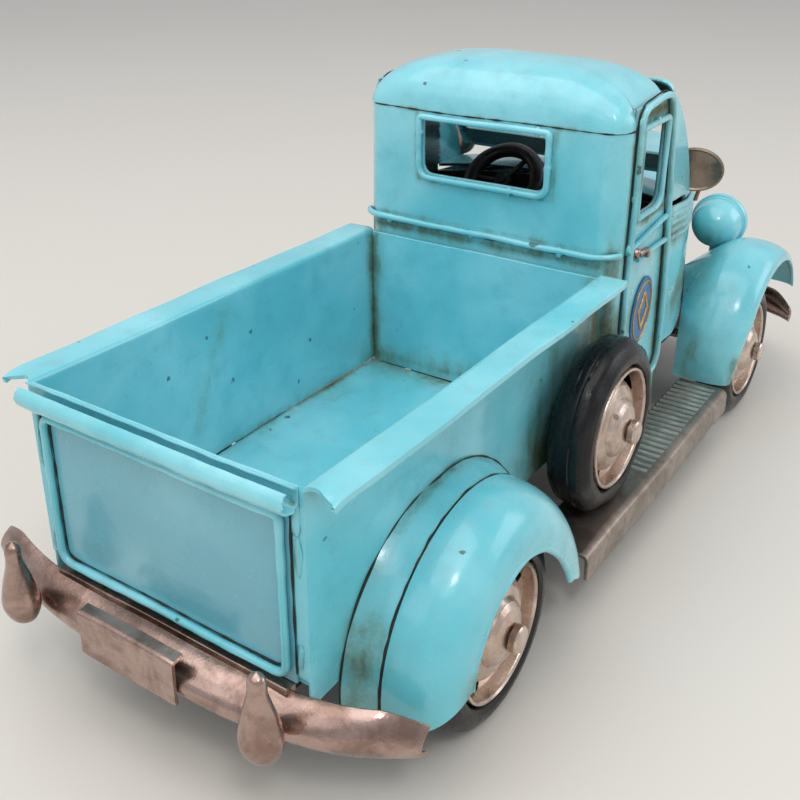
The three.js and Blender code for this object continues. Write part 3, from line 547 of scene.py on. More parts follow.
def makeChipGroup():
    # chips: random cells of a Voronoi pattern whose centres are close enough, with a wandering edge
    tree, given, gives = group("paint chips", [("Vector", vector3, None), ("Scale", number, 140.0),
                               ("Share", number, 0.06), ("Size", number, 0.2)], [("Mask", number)])
    shake = shader(tree, "ShaderNodeTexNoise", {"Vector": given["Vector"], "Scale": 900.0, "Detail": 2.0})
    offset = shader(tree, "ShaderNodeVectorMath", {0: shake.outputs["Color"], 1: (0.0016, 0.0016, 0.0016)},
                    operation="MULTIPLY").outputs[0]
    where = shader(tree, "ShaderNodeVectorMath", {0: given["Vector"], 1: offset},
                   operation="ADD").outputs[0]
    cells = shader(tree, "ShaderNodeTexVoronoi", {"Vector": where, "Scale": given["Scale"]})
    pick = shader(tree, "ShaderNodeSeparateColor", {"Color": cells.outputs["Color"]})
    chosen = maths(tree, "LESS_THAN", pick.outputs["Red"], given["Share"])
    reach = maths(tree, "MULTIPLY", given["Size"], pick.outputs["Green"])
    near = maths(tree, "LESS_THAN", cells.outputs["Distance"], reach)
    tree.links.new(maths(tree, "MULTIPLY", chosen, near), gives["Mask"])
    return tree


def makeHandGroup():
    # hand finish: shallow dents, brush marks and fine orange peel added into one height
    tree, given, gives = group("hand finish", [("Vector", vector3, None), ("Dents", number, 1.0),
                               ("Brush", number, 1.0), ("Peel", number, 1.0)], [("Height", number)])
    dents = noise(tree, given["Vector"], 45.0, 2.0)
    brush = noise(tree, stretched(tree, given["Vector"], (0.3, 1.0, 1.0)), 520.0, 3.0)
    peel = noise(tree, given["Vector"], 1500.0, 2.0)
    deep = maths(tree, "MULTIPLY", maths(tree, "MULTIPLY", dents, given["Dents"]), 6.0)
    fine = maths(tree, "MULTIPLY", maths(tree, "MULTIPLY", peel, given["Peel"]), 0.35)
    height = maths(tree, "ADD", deep, maths(tree, "MULTIPLY", brush, given["Brush"]))
    tree.links.new(maths(tree, "ADD", height, fine), gives["Height"])
    return tree


def makeDustGroup():
    # dust: noise weighted by how far the surface faces up
    tree, given, gives = group("settled dust", [("Vector", vector3, None), ("Amount", number, 0.3)],
                               [("Mask", number)])
    normal = tree.nodes.new("ShaderNodeNewGeometry").outputs["Normal"]
    facing = shader(tree, "ShaderNodeSeparateXYZ", {0: normal})
    specks = spread(tree, noise(tree, given["Vector"], 260.0, 6.0, 0.7), 0.42, 0.75)
    level = spread(tree, facing.outputs["Z"], 0.0, 1.0, 0.25, 1.0)
    tree.links.new(maths(tree, "MULTIPLY", maths(tree, "MULTIPLY", specks, level), given["Amount"]),
                   gives["Mask"])
    return tree


groups = {"wash": makeWashGroup(), "chips": makeChipGroup(), "hand": makeHandGroup(),
          "dust": makeDustGroup()}


def use(tree, name, inputs):
    return shader(tree, "ShaderNodeGroup", inputs, node_tree=groups[name])


def material(name, look, sockets):
    # a Principled surface; sockets are constants, and links come from the finish itself
    made = bpy.data.materials.new(name)
    made.use_nodes = True
    tree = made.node_tree
    tree.nodes.clear()
    surface = tree.nodes.new("ShaderNodeBsdfPrincipled")
    output = tree.nodes.new("ShaderNodeOutputMaterial")
    tree.links.new(surface.outputs[0], output.inputs["Surface"])
    for key, value in sockets.items():
        surface.inputs[key].default_value = value
    made.diffuse_color = look
    coords = tree.nodes.new("ShaderNodeTexCoord").outputs["Object"]
    return made, tree, surface.inputs, coords


def bump(tree, height, strength, distance, sockets):
    made = shader(tree, "ShaderNodeBump", {"Height": height, "Strength": strength, "Distance": distance})
    tree.links.new(made.outputs["Normal"], sockets["Normal"])


turquoise = {
    "light": "90dce8", "mid": "6ac8d6", "deep": "52b2c0", "wash": "484a28", "film": "6f9a82",
    "chip": "2e2a22", "dust": "b9c4bd", "inside": "1c1a15", "washAmount": 0.95, "chipShare": 0.03,
    "gloss": 0.19, "dents": 0.8, "brush": 0.6,
}


def enamel(name, **changes):
    # turquoise enamel brushed on by hand: three tones, a wash in the hollows that also paints shade,
    # painted shade inside the cabin and the engine bay, chips, dust, soft dents
    look = {**turquoise, **changes}
    constants = {"Metallic": 0.0, "Coat Roughness": 0.12, "Coat Weight": 0.35, "IOR": 1.5}
    made, tree, sockets, coords = material(name, colour(look["mid"]), constants)
    soil_and_shade = shader(tree, "ShaderNodeAttribute", attribute_name="soil_and_shade").outputs["Fac"]
    wash = use(tree, "wash", {"Vector": coords, "SoilAndShade": soil_and_shade, "Amount": look["washAmount"], "Size": 95.0})
    chips = use(tree, "chips", {"Vector": coords, "Scale": 110.0, "Share": look["chipShare"], "Size": 0.2})
    specks = use(tree, "chips", {"Vector": coords, "Scale": 330.0, "Share": 0.03, "Size": 0.3})
    hand = use(tree, "hand", {"Vector": coords, "Dents": look["dents"], "Brush": look["brush"],
                              "Peel": 1.0})
    dust = use(tree, "dust", {"Vector": coords, "Amount": 0.16})
    broad = noise(tree, coords, 26.0, 3.0, 0.5, 0.3)
    patchy = noise(tree, coords, 130.0, 5.0, 0.6)
    paint = blended(tree, spread(tree, broad, 0.35, 0.68), colour(look["mid"]), colour(look["light"]))
    paint = blended(tree, spread(tree, patchy, 0.46, 0.8, 0.0, 0.45), paint, colour(look["deep"]))
    paint = blended(tree, maths(tree, "MULTIPLY", wash.outputs["Film"], 0.5), paint, colour(look["film"]))
    paint = blended(tree, dust.outputs["Mask"], paint, colour(look["dust"]))
    # wash colour: olive dirt, and painted shade where the mask holds shade
    olive = spread(tree, noise(tree, coords, 700.0, 3.0), 0.3, 0.7)
    dirtAndShade = blended(tree, olive, colour(look["wash"]), colour("5f6845"))
    paint = blended(tree, wash.outputs["Mask"], paint, dirtAndShade)
    worn = maths(tree, "MAXIMUM", chips.outputs["Mask"], specks.outputs["Mask"])
    paint = blended(tree, maths(tree, "MULTIPLY", worn, 0.75), paint, colour(look["chip"]))
    # painted shade: surfaces inside the cabin and the engine bay turned almost black
    hidden = shader(tree, "ShaderNodeAttribute", attribute_name="inside").outputs["Fac"]
    paint = blended(tree, maths(tree, "MULTIPLY", hidden, 0.94), paint, colour(look["inside"]))
    tree.links.new(paint, sockets["Base Color"])
    rough = spread(tree, patchy, 0.3, 0.75, look["gloss"], look["gloss"] + 0.13)
    rough = maths(tree, "ADD", rough, maths(tree, "MULTIPLY", wash.outputs["Mask"], 0.35))
    rough = maths(tree, "ADD", rough, maths(tree, "MULTIPLY", worn, 0.3))
    tree.links.new(rough, sockets["Roughness"])
    tree.links.new(spread(tree, wash.outputs["Mask"], 0.1, 0.6, 0.55, 0.02), sockets["Coat Weight"])
    height = maths(tree, "SUBTRACT", hand.outputs["Height"], maths(tree, "MULTIPLY", worn, 0.8))
    height = maths(tree, "ADD", height, maths(tree, "MULTIPLY", wash.outputs["Mask"], 0.5))
    bump(tree, height, 0.24, 0.0003, sockets)
    return made


champagne = {"high": "b59a90", "mid": "8e7368", "low": "5f493f", "rub": "efe2da", "rough": 0.19}


def brushedMetal(name, **changes):
    # champagne metallic paint: blotches, fine streaks, brown in the hollows that also paints shade, and
    # brighter rubbed spots
    look = {**champagne, **changes}
    constants = {"IOR": 1.45, "Coat Roughness": 0.12, "Coat Weight": 0.25}
    made, tree, sockets, coords = material(name, colour(look["mid"]), constants)
    blotch = noise(tree, coords, 90.0, 5.0, 0.62, 0.6)
    streaks = noise(tree, stretched(tree, coords, (1.0, 0.5, 1.0)), 420.0, 4.0)
    flakes = noise(tree, coords, 2600.0, 2.0)
    soil_and_shade = shader(tree, "ShaderNodeAttribute", attribute_name="soil_and_shade").outputs["Fac"]
    wash = use(tree, "wash", {"Vector": coords, "SoilAndShade": soil_and_shade, "Amount": 0.8, "Size": 150.0})
    chips = use(tree, "chips", {"Vector": coords, "Scale": 260.0, "Share": 0.07, "Size": 0.28})
    metal = blended(tree, spread(tree, blotch, 0.36, 0.64), colour(look["mid"]), colour(look["high"]))
    metal = blended(tree, spread(tree, streaks, 0.5, 0.8, 0.0, 0.4), metal, colour(look["low"]))
    metal = blended(tree, spread(tree, flakes, 0.6, 0.85, 0.0, 0.4), metal, colour(look["rub"]))
    # brown wash, and painted shade where the mask holds shade, as on the spare wheel
    metal = blended(tree, maths(tree, "MULTIPLY", wash.outputs["Mask"], 0.8), metal, colour("33261c"))
    metal = blended(tree, maths(tree, "MULTIPLY", chips.outputs["Mask"], 0.6), metal, colour("3d2c22"))
    tree.links.new(metal, sockets["Base Color"])
    tree.links.new(spread(tree, chips.outputs["Mask"], 0.0, 1.0, 0.93, 0.3), sockets["Metallic"])
    rough = spread(tree, streaks, 0.3, 0.75, look["rough"], look["rough"] + 0.14)
    tree.links.new(maths(tree, "ADD", rough, maths(tree, "MULTIPLY", wash.outputs["Mask"], 0.3)),
                   sockets["Roughness"])
    hand = use(tree, "hand", {"Vector": coords, "Dents": 0.35, "Brush": 0.2, "Peel": 1.2})
    bump(tree, hand.outputs["Height"], 0.3, 0.0003, sockets)
    return made


def rubber(name):
    # black rubber with a bluish sheen, scuffs and grey dust
    made, tree, sockets, coords = material(name, colour("17181c"), {"IOR": 1.45, "Specular IOR Level": 0.4})
    scuff = noise(tree, coords, 160.0, 6.0, 0.65, 0.5)
    grain = noise(tree, coords, 1700.0, 3.0)
    dust = use(tree, "dust", {"Vector": coords, "Amount": 0.05})
    black = blended(tree, spread(tree, scuff, 0.4, 0.75), colour("08080a"), colour("121317"))
    black = blended(tree, dust.outputs["Mask"], black, colour("5b5450"))
    tree.links.new(black, sockets["Base Color"])
    tree.links.new(spread(tree, scuff, 0.3, 0.75, 0.22, 0.42), sockets["Roughness"])
    height = maths(tree, "ADD", maths(tree, "MULTIPLY", scuff, 2.0), maths(tree, "MULTIPLY", grain, 0.6))
    bump(tree, height, 0.3, 0.0003, sockets)
    return made


def dull(name, base, dark, roughness=0.55, metallic=0.0, scale=140.0):
    # plain paint of the hidden pieces: two tones, dust and a slight texture
    made, tree, sockets, coords = material(name, colour(base), {"Metallic": metallic, "IOR": 1.45})
    cloud = noise(tree, coords, scale, 5.0, 0.6)
    dust = use(tree, "dust", {"Vector": coords, "Amount": 0.3})
    paint = blended(tree, spread(tree, cloud, 0.35, 0.7), colour(base), colour(dark))
    paint = blended(tree, dust.outputs["Mask"], paint, colour("6c655c"))
    tree.links.new(paint, sockets["Base Color"])
    tree.links.new(spread(tree, cloud, 0.3, 0.7, roughness - 0.1, roughness + 0.12), sockets["Roughness"])
    bump(tree, noise(tree, coords, 900.0, 4.0), 0.25, 0.0003, sockets)
    return made


def ribbedPaint(name):
    # grey turquoise paint of the board mats, worn to metal along the ribs
    made, tree, sockets, coords = material(name, colour("8da29c"), {"IOR": 1.45})
    cloud = noise(tree, coords, 120.0, 5.0, 0.6)
    wear = noise(tree, stretched(tree, coords, (1.0, 0.3, 1.0)), 500.0, 4.0)
    soil_and_shade = shader(tree, "ShaderNodeAttribute", attribute_name="soil_and_shade").outputs["Fac"]
    soil_and_shade = maths(tree, "ADD", soil_and_shade, 0.2)
    wash = use(tree, "wash", {"Vector": coords, "SoilAndShade": soil_and_shade, "Amount": 1.0, "Size": 170.0})
    paint = blended(tree, spread(tree, cloud, 0.35, 0.7), colour("8b9792"), colour("a6b2ad"))
    paint = blended(tree, spread(tree, wear, 0.5, 0.8, 0.0, 0.4), paint, colour("968d83"))
    paint = blended(tree, maths(tree, "MULTIPLY", wash.outputs["Mask"], 0.4), paint, colour("4f4c3e"))
    tree.links.new(paint, sockets["Base Color"])
    tree.links.new(spread(tree, wear, 0.4, 0.8, 0.1, 0.6), sockets["Metallic"])
    tree.links.new(spread(tree, cloud, 0.3, 0.7, 0.36, 0.52), sockets["Roughness"])
    bump(tree, maths(tree, "ADD", cloud, wear), 0.3, 0.0003, sockets)
    return made


turquoisePaint = (enamel("turquoise enamel"), "turquoise_paint")
# painted shade and sheen: the tailgate gets a darker, greyer copy of the turquoise enamel
tailgateShadedPaint = (enamel("tailgate enamel with painted shade and sheen", mid="66aebf", light="79bdcc", dents=1.8, chipShare=0.03),
                 "turquoise_paint")
wirePaint = (enamel("wire enamel", brush=2.0, washAmount=0.75, chipShare=0.09), "turquoise_paint")
champagneMetal = (brushedMetal("champagne metal"), "champagne_metal")
wheelMetal = (brushedMetal("wheel metal", high="dccabd", mid="c2ab9c", low="94786a", rough=0.24),
              "champagne_metal")
boardMetal = (brushedMetal("board metal", high="a3958a", mid="877a6f", low="5e5248", rough=0.34),
              "champagne_metal")
mirrorMetal = (brushedMetal("mirror metal", high="9c8675", mid="80695a", low="5a4638", rough=0.3),
               "mirror_face")
tyreRubber = (rubber("tyre rubber"), "tyre_rubber")
matPaint = (ribbedPaint("ribbed mat paint"), "mat_paint")
blackTrim = (dull("black trim paint", "0f1013", "1c1d21", 0.4), "black_trim")
seatBrown = (dull("seat brown paint", "3b281c", "2a1c14", 0.6), "seat_brown")
darkIron = (dull("underbody paint", "2b2825", "1e1c1b", 0.6, 0.3), "dark_iron")
# painted shade: dark brown for what is seen through the wheel slots
slotShadePaint = (dull("painted slot shade", "4a2f1c", "2c1b10", 0.6), "dark_iron")
# painted shade: near-black paint for thin lines laid along seams and beside wires, where shade falls
seamShadePaint = (dull("painted seam shade", "1c1911", "2b2818", 0.7), "turquoise_paint")
print("finishes ready")


# Running gear

wheelShape = {
    "tyreWidth": 13.5, "tyreDents": 0.32, "rim": 18.6, "slotRadii": (13.9, 16.6), "slotSpan": 52.0,
    "slots": 4, "hubRadius": 8.2, "headRadius": 3.6, "headThickness": 2.2, "headOut": 4.8,
    "rodRadius": 2.0, "discThickness": 0.7, "discBevel": 0.12,
}


def tyrePatches(centre, outer, dents=0.0):
    # section in (radius, distance inboard): round shoulders, a step for the bead and two shallow grooves
    side = [(18.6, 1.6), (19.2, 0.5), (20.4, 0.05), (22.0, 0.15), (23.3, 0.75), (24.1, 1.3), (24.5, 1.62),
            (25.0, 2.0), (25.6, 2.9), (wheelRadius - 0.08, 4.3), (wheelRadius, 5.2)]
    tread = [(wheelRadius - 0.1, 5.75), (wheelRadius, 6.2), (wheelRadius, 6.75)]
    half = np.array(side + tread)
    other = half[:-1] * [1, -1] + [0, wheelShape["tyreWidth"]]
    section = finer(np.vstack([other, half[::-1]]), 0.7)
    section = np.vstack([section, [18.2, 3.0], [18.2, 10.5], section[0]])
    points, faces = turned(section * [1, -1] + [0, outer], centre, 144)
    if dents:
        away = points - np.asarray(centre, float) - [0, outer - wheelShape["tyreWidth"] / 2, 0]
        press = waves(points, dents, 13.0, 21)[:, 0] * (np.abs(away[:, 1]) > 1.5)
        points = points + unit(away * [1, 0.6, 1]) * press[:, None]
    return [(points, faces)]


def discPatches(centre, outer):
    # pressed disc from the lip inwards to the axle: lip, drop, flat ring with slots, raised hub, hub cap
    rim, hub = wheelShape["rim"] - 0.4, wheelShape["hubRadius"]
    low, high = wheelShape["slotRadii"]
    line = [(rim - 0.1, 2.6), (rim + 0.1, 1.0), (rim - 0.1, 0.35), (rim - 0.7, 0.1), (rim - 1.1, 0.7),
            (rim - 1.3, 2.4), (high + 0.1, 3.8), (high, 4.1), (low, 4.1), (low - 0.4, 3.4), (12.6, 2.3),
            (11.2, 1.5), (9.6, 1.15), (9.0, 1.3)]
    cap = [(hub + 0.9, 1.5), (hub + 0.5, 0.9), (hub, 0.1), (hub - 1.2, -0.9), (hub - 3.2, -1.75),
           (hub - 4.6, -2.05), (2.2, -2.15)]
    ring = finer(line, 0.5)
    angles = 192
    points = turned(np.array([(r, outer - inboard) for r, inboard in ring]), centre, angles)[0]
    grid = points.reshape(len(ring), angles, 3)
    degrees = np.degrees((np.arange(angles) + 0.5) * 2 * np.pi / angles)
    pitch = 360 / wheelShape["slots"]
    near = np.abs((degrees - 45 + pitch / 2) % pitch - pitch / 2)
    inSlot = near < wheelShape["slotSpan"] / 2
    mid = (ring[:-1, 0] + ring[1:, 0]) / 2
    inBand = (mid > low) & (mid < high)
    disc = patch(grid, loopColumns=True, keep=~(inBand[:, None] & inSlot[None, :]))
    hubCap = turned(np.array([(r, outer - inboard) for r, inboard in finer(cap, 0.4)]), centre, 96)
    return [disc, hubCap]


def headPatches(centre, outer):
    # rod through the wheel with a flat riveted head: rows run from the head's face inwards
    head, thick, out = (wheelShape[key] for key in ("headRadius", "headThickness", "headOut"))
    line = [(0, out), (head - 1.1, out), (head - 0.4, out - 0.15), (head, out - 0.6), (head, out - thick),
            (wheelShape["rodRadius"], out - thick - 0.1), (wheelShape["rodRadius"], -8)]
    profile = np.array([(r, outer + reach) for r, reach in finer(line, 0.5)])[::-1]
    return [turned(profile, centre, 48)]


def slotShadePatches(centre, outer):
    # painted shade: a dark brown dished sheet that closes the wheel behind its slots, for the shade inside
    # the wheel
    return [turned([(18.0, outer - 8.4), (17.6, outer - 7.6), (2.5, outer - 7.4)], centre, 72)]


def makeWheel(names, body, centre, outer, facing, dents=0.0):
    # rubber, pressed disc and the painted shade behind its slots, of one wheel; names are those of its tyre
    # and of its disc
    tyre, disc = names
    piece(f"{tyre}_rubber", facing(tyrePatches(centre, outer, dents)), tyreRubber, (tyre,), body,
          bent=False, turn=True)
    piece(f"{disc}_disc", facing(discPatches(centre, outer)), wheelMetal, (disc,), body,
          wall=wheelShape["discThickness"], bevel=wheelShape["discBevel"], bent=False)
    piece(f"{disc}_slot_shade", facing(slotShadePatches(centre, outer)), slotShadePaint, (), body, wall=1.0, bent=False)


def makeWheels():
    rodRadius = wheelShape["rodRadius"]
    for axle, x in (("rear", rearAxle), ("front", frontAxle)):
        centre = (x, 0, wheelRadius)
        for side, facing in (("left", lambda shape: shape), ("right", mirrored)):
            body = f"{axle}_wheel_{side}"
            makeWheel((f"{axle}_tyre_{side}", body), body, centre, tyreOuter, facing)
        rod = turned([(rodRadius, -tyreOuter + 4), (rodRadius, tyreOuter - 4)], centre, 32)
        heads = headPatches(centre, tyreOuter)
        shapes = heads + mirrored(heads) + [rod]
        piece(f"{axle}_axle_rod", shapes, wheelMetal, (f"{axle}_axle",), bent=False)
    centre = (spareX, 0, spareZ)
    makeWheel(("spare_tyre", "spare_wheel"), "spare", centre, spareOuter, mirrored, wheelShape["tyreDents"])
    line = [(rodRadius, spareOuter - 7), (rodRadius, bedHalf + 2.6), (5, bedHalf + 2.4), (5, bedHalf + 1.4),
            (0, bedHalf + 1.4)]
    pin = turned(np.array(line)[::-1], centre, 48)
    shapes = mirrored(headPatches(centre, spareOuter) + [pin])
    piece("spare_pin_rod", shapes, wheelMetal, ("spare_pin",), bent=False)


makeWheels()
print("wheels made")

# Bed

bed = {
    "railLip": 1.8, "railBend": 1.8, "lipBend": 0.5, "cell": 1.3, "flangeTop": railTop - 5.0,
    "gateHalf": 38.0, "rollX": -2.2, "rollZ": railTop - 2.6, "rollRadius": 2.6, "frameHalf": 36.1,
    "frameLow": 38.4, "frameHigh": 78.8,
    "solder": [(39.7, 77.5, 4.2), (39.9, 68.5, 5.2), (39.6, 43, 3.2)],
}


def bedSide():
    # inner and top face of the sheet: up the side, over the bend, across the rail and down the lip
    corners = [(bedHalf, cabBottom), (bedHalf, railTop), (railHalf, railTop),
               (railHalf, railTop - bed["railLip"])]
    line = finer(rounded(corners, [bed["railBend"], bed["lipBend"]]), bed["cell"])
    stations = np.linspace(0.2, bedLength, 110)
    grid = sectionAlongX(line, stations)
    x, y, z = (grid[..., k].copy() for k in range(3))
    onRail = np.clip((z - (railTop - 3.2)) / 2.0, 0, 1) * np.clip((y - bedHalf) / 3, 0, 1)
    ends = np.clip(1 - (x - 0.2) / 9, 0, 1) ** 2
    tips = np.clip(1 - (bedLength - x) / 7, 0, 1) ** 2
    outer = np.clip((y - bedHalf - 3) / 6, 0, 1)
    torn = 1.5 * (1 - outer) - 0.5 * outer + ripple(y, 0.3, 5.0, 3)
    height = np.clip((z - cabBottom) / (railTop - cabBottom), 0, 1)
    belly = ripple(x, 0.22, 48.0, 12) * np.sin(np.pi * height)
    grid[..., 0] += onRail * (ends * torn - 0.5 * tips)
    grid[..., 1] += onRail * outer * ripple(x, 0.16, 60.0, 9) - (1 - onRail) * belly
    grid[..., 2] += onRail * outer * (ripple(x, 0.15, 90.0, 8) - 1.3 * ends ** 2)
    return [patch(grid)]


def makeBed():
    half = bedHalf + 0.7
    floor = slab((tin + 0.05, -half, bedFloor - 1.4), (bedLength - tin, half, bedFloor), 3.0)
    floor = shifted(floor, lambda p: stack(0, 0, 0.35 * np.sin(p[:, 0] / 23) * np.cos(p[:, 1] / 19)))
    piece("bed_floor_sheet", floor, turquoisePaint, ("bed_floor",), bevel=0.3)
    pair("bed_side", bedSide(), turquoisePaint, wall=tin, bevel=0.28)
    post = slab((0.2, bed["gateHalf"] + gap, cabBottom), (0.2 + tin, bedHalf + tin, bed["flangeTop"]), 2.0)
    bothSides("bed_corner_post", post, turquoisePaint, bevel=0.3)
    apron = slab((0.4, bedHalf + 0.1, cabBottom - 7), (rearAxle - 26, bedHalf + tin - 0.1, cabBottom + 1),
                 3.0)
    bothSides("bed_apron", apron, turquoisePaint, bevel=0.2)
    half = bedHalf - 0.02
    wall = slab((bedLength - tin, -half, bedFloor), (bedLength, half, railTop - 1), 3.0)
    piece("bed_front_wall_sheet", wall, turquoisePaint, ("bed_front_wall",), bevel=0.3)


def makeTailgate():
    # the top of the sheet is rolled outwards: a spiral from the sheet's top round its own centre
    turn = np.radians(np.linspace(52, -268, 46)) + 0.35
    shrink = np.linspace(1.0, 0.84, 46)
    centre = np.array([bed["rollX"], bed["rollZ"]])
    curl = centre + bed["rollRadius"] * shrink[:, None] * np.stack([np.cos(turn), np.sin(turn)], -1)
    across = np.linspace(-bedHalf + gap, bedHalf - gap, 96)
    roll = sectionAlongY(curl[::-1], across)
    end = np.clip((np.abs(roll[..., 1]) - bedHalf + 5) / 5, 0, 1)
    torn = ripple(roll[..., 2] * 1.3 + roll[..., 0], 0.25, 4.0, 31) - 0.1
    roll[..., 1] += np.sign(roll[..., 1]) * end * torn
    swell = ripple(roll[..., 1], 0.06, 15.0, 33)[..., None]
    away = roll - stack(centre[0], roll[..., 1], centre[1])
    roll = roll + unit(away) * swell
    strip = slab((0, -bedHalf + gap, bed["rollZ"] - 2.6), (0.8, bedHalf - gap, railTop - 0.2), 1.6)
    strip = shifted(strip, lambda p: (p[:, 2:] > railTop - 1.5) * stack(
        ripple(p[:, 1], 0.1, 40, 35), 0, ripple(p[:, 1], 0.07, 24, 36)))
    panel = slab((0, -bed["gateHalf"], bedFloor - 1.2), (tin, bed["gateHalf"], bed["rollZ"] - 2), 3.0)
    panel = shifted(panel, lambda p: stack(
        -0.35 * np.cos(p[:, 1] / 26) * np.sin((p[:, 2] - 36) / 14), 0, 0))
    piece("tailgate_sheet", panel, tailgateShadedPaint, ("tailgate",), bevel=0.3)
    piece("tailgate_top_strip", strip, turquoisePaint, bevel=0.25)
    piece("tailgate_roll", [patch(roll)], turquoisePaint, wall=0.6, bevel=0.2)
    half = bed["frameHalf"]
    loop = roundedLoop(-half, half, bed["frameLow"], bed["frameHigh"], [4, 4, 3, 1.4])
    route = stack(-wire - 0.05, loop[:, 0], loop[:, 1])
    piece("tailgate_frame_wire", [wireAlong(route, wire, (1, 0, 0), closed=True)], wirePaint,
          ("tailgate_wire_frame",), sharp=80)
    lumps = []
    for count, (y, z, tall) in enumerate(bed["solder"]):
        lumps.append(blob((0.05, y, z), (0.5, 0.8, tall), 40 + count, 0.28))
        lumps.append(blob((0.05, -y, z + 1.5), (0.55, 0.9, tall), 60 + count, 0.28))
    piece("corner_solder", lumps, wirePaint, sharp=80)
    # painted shade: thin near-black lines inside the frame wire and down both edges of the tailgate
    loop = roundedLoop(-half + 1.15, half - 1.15, bed["frameLow"] + 1.1, bed["frameHigh"] - 1.1,
                       [3.2, 3.2, 2.2, 1])
    route = stack(-0.12, loop[:, 0], loop[:, 1])
    seam_shade = [wireAlong(route, 0.2, (1, 0, 0), 8, closed=True, uneven=0.5, seed=11)]
    for y in (-bed["gateHalf"] - 0.15, bed["gateHalf"] + 0.15):
        line = ladder(cabBottom + 1, bed["rollZ"] - 3, 1.0)
        seam_shade.append(wireAlong(stack(-0.02, y, line), 0.24, (1, 0, 0), 8, uneven=0.5, seed=12))
    piece("tailgate_seams", seam_shade, seamShadePaint, sharp=80)


makeBed()
makeTailgate()
print("bed made")

# Cab

cab = {
    "corner": 8.0, "windowHalf": 21.4, "windowLow": 108.4, "windowHigh": 126.2, "windowCorner": 3.0,
    "beltZ": 91.4, "doorWindow": (153.6, 173.0, 101.4, 127.6), "doorCorners": [0.6, 5, 1, 0.6],
    "roofMiddle": 166.0, "roofCut": doorTop - 0.4, "lean": 29.3, "cowlCrown": 4.0,
}
wireY = cabHalf + wire + 0.1


def cabBackSheet():
    # flat across the back, quarter turns at the corners; rows follow the plan, columns go up
    inset = cabHalf - cab["corner"]
    turn = np.radians(np.linspace(90, 180, 14))
    left = np.stack([cornerEnd + cab["corner"] * np.cos(turn), inset + cab["corner"] * np.sin(turn)], -1)
    hole = cab["windowHalf"]
    flat = np.concatenate([np.linspace(inset, hole, 16), np.linspace(hole, -hole, 44)[1:],
                           np.linspace(-hole, -inset, 16)[1:]])
    plan = np.vstack([left, np.stack([0 * flat + cabBack, flat], -1)[1:-1], (left * [1, -1])[::-1]])
    low, high = cab["windowLow"], cab["windowHigh"]
    heights = np.concatenate([np.linspace(cabBottom, low, 60), np.linspace(low, high, 19)[1:],
                              np.linspace(high, seamZ, 4)[1:]])
    grid = stack(plan[:, None, 0], plan[:, None, 1], heights[None, :])
    cellY, cellZ = np.abs(plan[:-1, 1] + plan[1:, 1]) / 2, (heights[:-1] + heights[1:]) / 2
    onWindow = (cellY < hole) & (plan[:-1, 0] < cabBack + 1e-6)
    keep = ~(onWindow[:, None] & (cellZ > low) & (cellZ < high))
    radius = cab["windowCorner"]
    dy = np.abs(grid[..., 1]) - (hole - radius)
    dz = (low + radius) - grid[..., 2]
    far = np.hypot(dy, dz)
    inWindow = (np.abs(grid[..., 1]) <= hole + 1e-6) & (grid[..., 2] >= low - 1e-6)
    snap = (dy > 0) & (dz > 0) & inWindow & (far > radius)
    pull = np.where(snap, radius / np.maximum(far, 1e-6), 1.0)
    grid[..., 1] = np.where(snap, np.sign(grid[..., 1]) * (hole - radius + dy * pull), grid[..., 1])
    grid[..., 2] = np.where(snap, low + radius - dz * pull, grid[..., 2])
    return [patch(grid, keep=keep)]


def backPlan(offset, first=92):
    # plan of the back panel moved outwards by the offset, from the left side round to the right side; its
    # ends are arcs about the corners' centres that start at the angle first
    turn = np.radians(np.linspace(first, 180, 22))
    reach = cab["corner"] + offset
    left = np.stack([cornerEnd + reach * np.cos(turn), cabHalf - cab["corner"] + reach * np.sin(turn)], -1)
    across = np.linspace(1, -1, 80) * (cabHalf - cab["corner"])
    straight = np.stack([np.full(80, cabBack - offset), across], -1)
    return np.vstack([left, straight[1:-1], (left * [1, -1])[::-1]])


def power(value, exponent):
    return np.sign(value) * np.abs(value) ** exponent


def roofSheet():
    # superellipse in plan, drawn in towards the top; the rim is cut higher above the doors and the screen
    around = np.linspace(0, 2 * np.pi, 240, endpoint=False)[:, None]
    base = seamZ + 0.05
    reach = np.where(np.cos(around) > 0, roofFront - cab["roofMiddle"], cab["roofMiddle"] - cabBack)
    rimX = cab["roofMiddle"] + reach * power(np.cos(around), 0.42)
    cutShare = ((cab["roofCut"] - base) / (roofTop - base)) ** (1 / 0.82)
    start = np.where(rimX > cornerEnd + gap, np.arcsin(cutShare) * 2 / np.pi, 0.0)
    v = start + (1 - start) * np.linspace(0, 1, 44)[None, :]
    up = np.pi / 2 * v
    inward = power(np.cos(up), 0.76)
    oval = np.concatenate([reach * power(np.cos(around), 0.42), cabHalf * power(np.sin(around), 0.3)], 1)
    heading = np.arctan2(oval[:, 1], oval[:, 0])
    loop = roundedLoop(cabBack, roofFront, -cabHalf, cabHalf, [cab["corner"], 12, 12, cab["corner"]])
    rim = radiusAt(loop, np.array([cab["roofMiddle"], 0.0]), heading)
    square = np.stack([rim * np.cos(heading), rim * np.sin(heading)], -1)
    plan = mixed(square[:, None], oval[:, None], np.clip(v * 2.2, 0, 1)[..., None])
    x = cab["roofMiddle"] + plan[..., 0] * inward
    y = plan[..., 1] * inward
    z = base + (roofTop - base) * power(np.sin(up), 0.82)
    return [patch(stack(x, y, z), loopRows=True)]


